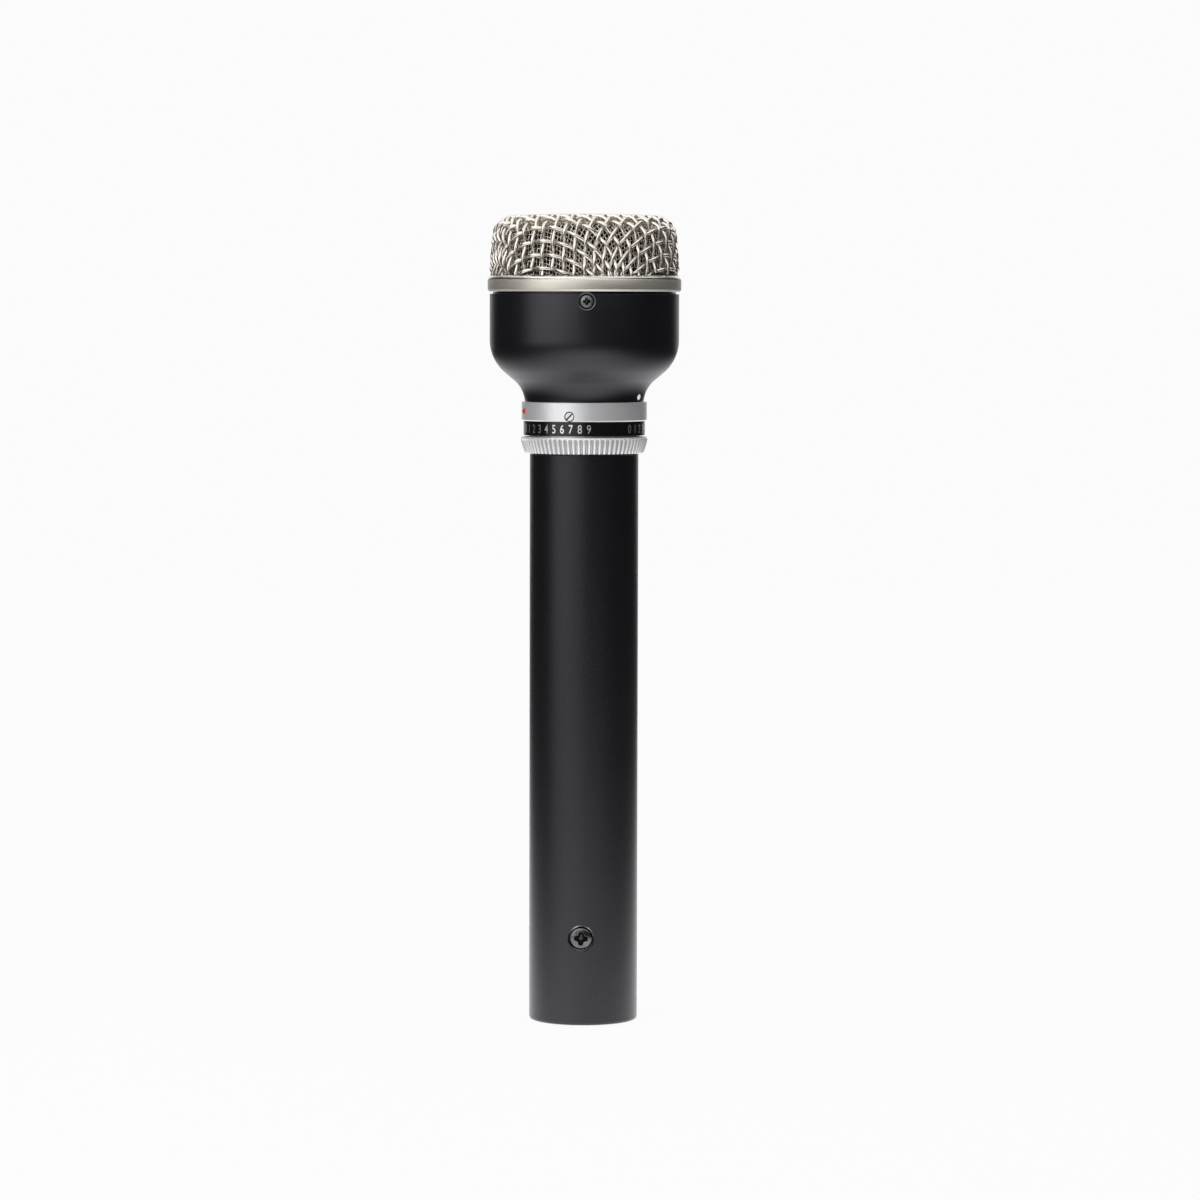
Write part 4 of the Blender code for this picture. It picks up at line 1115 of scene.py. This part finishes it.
def make_tube():
    """The handle's tube, with the screw that holds the connector in its hole."""
    node = "handle_tube"
    high, bore = top(node), reach("xlr_shell") + 0.15 * MM
    edge, mouth = 0.08 * MM, 0.3 * MM
    screw_z = middle("xlr_screw").z
    # Rings of points near the screw's hole keep the facets round its cut small.
    near_hole = [screw_z + d * MM for d in (12, 6, 4, 2, 0, -2, -4, -6)]
    profile = [
        (TUBE_RADIUS - edge, high),
        *[(TUBE_RADIUS, z) for z in (high - edge, *near_hole)],
        (TUBE_RADIUS - 0.02 * MM, FOOT_ROUND),
        (TUBE_RADIUS - FOOT_ROUND * 0.35, FOOT_ROUND * 0.3),
        (TUBE_RADIUS - FOOT_ROUND * 0.9, 0),
        (bore + mouth, 0),
        (bore, mouth),
        (bore, high),
    ]
    tube = lathe("handle_tube_coated", profile, POWDER_COAT, AROUND_LARGE)
    hole = cylinder("screw_hole", XLR_HOLE_RADIUS, -3.5 * MM, 3 * MM, POWDER_COAT, 96)
    placed(hole, facing_out(XLR_SCREW_AZIMUTH, screw_z, TUBE_RADIUS))
    carve(tube, hole)
    soften(tube, 0.10 * MM, 22)
    on_body(tube, "microphone", "powder_coat", node)

    seat = reach("xlr_shell")
    rim = seat + 1.2 * MM
    cross_screw(
        "xlr_screw_turned", "xlr_screw", XLR_SCREW_RADIUS, XLR_SCREW_DOME,
        seat + 0.05 * MM - rim, BLACK_SCREW, XLR_SCREW_TURN,
        facing_out(XLR_SCREW_AZIMUTH, screw_z, rim),
    )


def make_connector():
    """The connector's shell with its latch slot, the moulded insert and the three pins."""
    shell_r, low, high = reach("xlr_shell"), bottom("xlr_shell"), top("xlr_shell")
    insert_r = reach("xlr_insert")
    bore = insert_r + 0.1 * MM
    shell = lathe("xlr_shell_turned", [
        (shell_r, high), (shell_r, low + 0.2 * MM), (shell_r - 0.2 * MM, low),
        (bore + 0.5 * MM, low), (bore, low + 0.7 * MM), (bore, high),
    ], CONNECTOR_NICKEL)
    latch = slab("latch", 4 * MM, 3 * MM, 4 * MM, 7 * MM, CONNECTOR_NICKEL)
    latch.data.transform(Matrix.Translation((0, bore + 0.6 * MM, 0)))
    carve(shell, latch)
    soften(shell, 0.08 * MM)
    on_body(shell, "microphone", "connector_metal", "xlr_shell")

    face = bottom("xlr_insert")
    back, dish = face + 6 * MM, face + 0.25 * MM
    insert = lathe("xlr_insert_moulded", [
        (0, back), (insert_r, back), (insert_r, face + 0.4 * MM),
        (insert_r - 0.4 * MM, face), (insert_r - 1.4 * MM, face),
        (insert_r - 1.6 * MM, dish), (0, dish),
    ], INSULATOR)
    soften(insert, 0.06 * MM, 20)
    on_body(insert, "microphone", "insulator", "xlr_insert")
    for number in (1, 2, 3):
        make_pin(number)


def make_pin(number):
    """One pin with a rounded nose, and a solder cup at its back."""
    node = f"xlr_pin_{number}"
    low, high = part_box(node)
    radius, nose = (high.x - low.x) / 2, 0.9 * MM
    cup, cup_floor = radius * 0.6, high.z - 2.4 * MM
    pin = lathe(f"{node}_turned", [
        (0, cup_floor), (cup, cup_floor), (cup, high.z),
        (radius, high.z), (radius, low.z + 8 * MM),
        *arc(radius - nose, low.z + nose, nose, 0, -math.pi / 2, 8), (0, low.z),
    ], GOLD_PIN, 40)
    soften(pin, 0.04 * MM)
    centre = middle(node)
    placed(pin, Matrix.Translation((centre.x, centre.y, 0)))
    on_body(pin, "microphone", "connector_metal", node)


# ---------------- studio

CAMERA_DISTANCE = 1.056
CAMERA_HEIGHT = 156.7 * MM
CAMERA_ASIDE = 3.37 * MM
CAMERA_TILT = math.radians(3.526)
CAMERA_ROLL = math.radians(-0.135)
LENS, SENSOR = 145.75, 36  # millimetres
PALE = (0.965, 0.965, 0.967)
DIM = (0.045, 0.045, 0.047)
FLOOR_SEEN = 0.97  # the floor's brightness in the picture
STRIP_GLOW = 1.6  # and as a light
STRIP_SIDE = (0.02, 0.30)  # where it starts and stops fading, sideways
STRIP_FRONT = (0.18, 0.45)
STRIP_WIDENS = 0.12  # for each metre behind the microphone
FLOOR_NEAR, FLOOR_FAR, FLOOR_HALF_WIDTH = -0.90, 1.5, 0.85
FLOOR_HEIGHT = -0.1 * MM  # just clear of the tube's foot
BACKDROP_LOW, BACKDROP_HIGH = -0.02, 1.4
LIGHTS_AIM = Vector((0, 0, 0.10))
# Name, azimuth, distance from the axis, height, width, tallness and radiance.
SOFTBOXES = (
    ("key_softbox", -37, 0.95, 0.30, 1.38, 1.2, 0.80),
    ("key_core", -45, 0.94, 0.30, 0.70, 1.2, 0.65),
    ("top_softbox", 0, 0.15, 1.00, 2.6, 2.6, 1.1),
)


def make_camera():
    data = bpy.data.cameras.new("camera")
    data.sensor_width = SENSOR
    data.lens = LENS
    data.clip_start = 0.01
    camera = new_object("camera", data)
    camera.location = (CAMERA_ASIDE, -CAMERA_DISTANCE, CAMERA_HEIGHT)
    camera.rotation_euler = (math.pi / 2 - CAMERA_TILT, CAMERA_ROLL, 0)
    bpy.context.scene.camera = camera


def backdrop_material():
    """An even, pale glow."""
    made, nodes, links = new_material("backdrop_light")
    nodes.remove(nodes["Principled BSDF"])
    glow = nodes.new("ShaderNodeEmission")
    glow.inputs["Color"].default_value = (*PALE, 1)
    links.new(glow.outputs["Emission"], nodes["Material Output"].inputs["Surface"])
    return made


def floor_material():
    """Evenly white to the eye; as a light, a bright strip that runs towards the camera."""
    made, nodes, links = new_material("pale_floor")
    shader = nodes["Principled BSDF"]
    shader.inputs["Base Color"].default_value = (0.04, 0.04, 0.04, 1)
    shader.inputs["Roughness"].default_value = 0.9
    shader.inputs["Specular IOR Level"].default_value = 0.0
    shader.inputs["Emission Color"].default_value = (*PALE, 1)
    x, y, _ = own_axes(nodes, links)
    forward = arithmetic(nodes, links, "MULTIPLY", y, -1.0)
    aside = arithmetic(nodes, links, "ABSOLUTE", x, 0.0)
    behind = arithmetic(nodes, links, "MAXIMUM", y, 0.0)
    widened = arithmetic(nodes, links, "MULTIPLY", behind, STRIP_WIDENS)
    aside = arithmetic(nodes, links, "SUBTRACT", aside, widened)
    strip = arithmetic(
        nodes, links, "MULTIPLY",
        fade(nodes, links, aside, *STRIP_SIDE), fade(nodes, links, forward, *STRIP_FRONT),
    )
    glow = arithmetic(nodes, links, "MULTIPLY", strip, STRIP_GLOW)
    path = nodes.new("ShaderNodeLightPath")
    seen = nodes.new("ShaderNodeMix")
    links.new(path.outputs["Is Camera Ray"], seen.inputs["Factor"])
    links.new(glow, seen.inputs["A"])
    seen.inputs["B"].default_value = FLOOR_SEEN
    links.new(seen.outputs["Result"], shader.inputs["Emission Strength"])
    return made


def stage_sheet(name, corners, finish):
    """A flat sheet of one material, on no body of the microphone."""
    sheet = piece(name, corners, [(0, 1, 2, 3)], finish)


def area_light(name, azimuth, distance, height, width, tall, radiance):
    """A softbox that faces the microphone."""
    data = bpy.data.lights.new(name, "AREA")
    data.shape = "RECTANGLE"
    data.size = width
    data.size_y = tall
    data.energy = radiance * math.pi * width * tall
    light = new_object(name, data)
    light.location = outward(azimuth) * distance + Vector((0, 0, height))
    aim = LIGHTS_AIM - light.location
    light.rotation_euler = aim.to_track_quat("-Z", "Y").to_euler()
    light.visible_camera = False


def make_studio():
    """Floor, backdrop, three softboxes and the world."""
    near, far, side, level = FLOOR_NEAR, FLOOR_FAR, FLOOR_HALF_WIDTH, FLOOR_HEIGHT
    low, high = BACKDROP_LOW, BACKDROP_HIGH
    stage_sheet(
        "floor",
        [(-side, near, level), (side, near, level), (side, far, level), (-side, far, level)],
        floor_material(),
    )
    stage_sheet(
        "backdrop", [(-side, far, low), (side, far, low), (side, far, high), (-side, far, high)],
        backdrop_material(),
    )
    for softbox in SOFTBOXES:
        area_light(*softbox)
    make_world()
    view = bpy.context.scene.view_settings
    view.view_transform = "Standard"
    view.look = "None"


def make_world():
    """Pale to the eye, dim as a light."""
    world = bpy.data.worlds.new("studio")
    bpy.context.scene.world = world
    world.use_nodes = True
    nodes, links = world.node_tree.nodes, world.node_tree.links
    dim = nodes["Background"]
    dim.inputs["Color"].default_value = (*DIM, 1)
    pale = nodes.new("ShaderNodeBackground")
    pale.inputs["Color"].default_value = (*PALE, 1)
    path = nodes.new("ShaderNodeLightPath")
    mix = nodes.new("ShaderNodeMixShader")
    links.new(path.outputs["Is Camera Ray"], mix.inputs["Fac"])
    links.new(dim.outputs["Background"], mix.inputs[1])
    links.new(pale.outputs["Background"], mix.inputs[2])
    links.new(mix.outputs["Shader"], nodes["World Output"].inputs["Surface"])


make_camera()
make_studio()
make_cap()
make_grille_ring()
make_housing()
make_control_ring()
make_band()
make_grip_ring()
make_tube()
make_connector()
paint_carried_nodes()
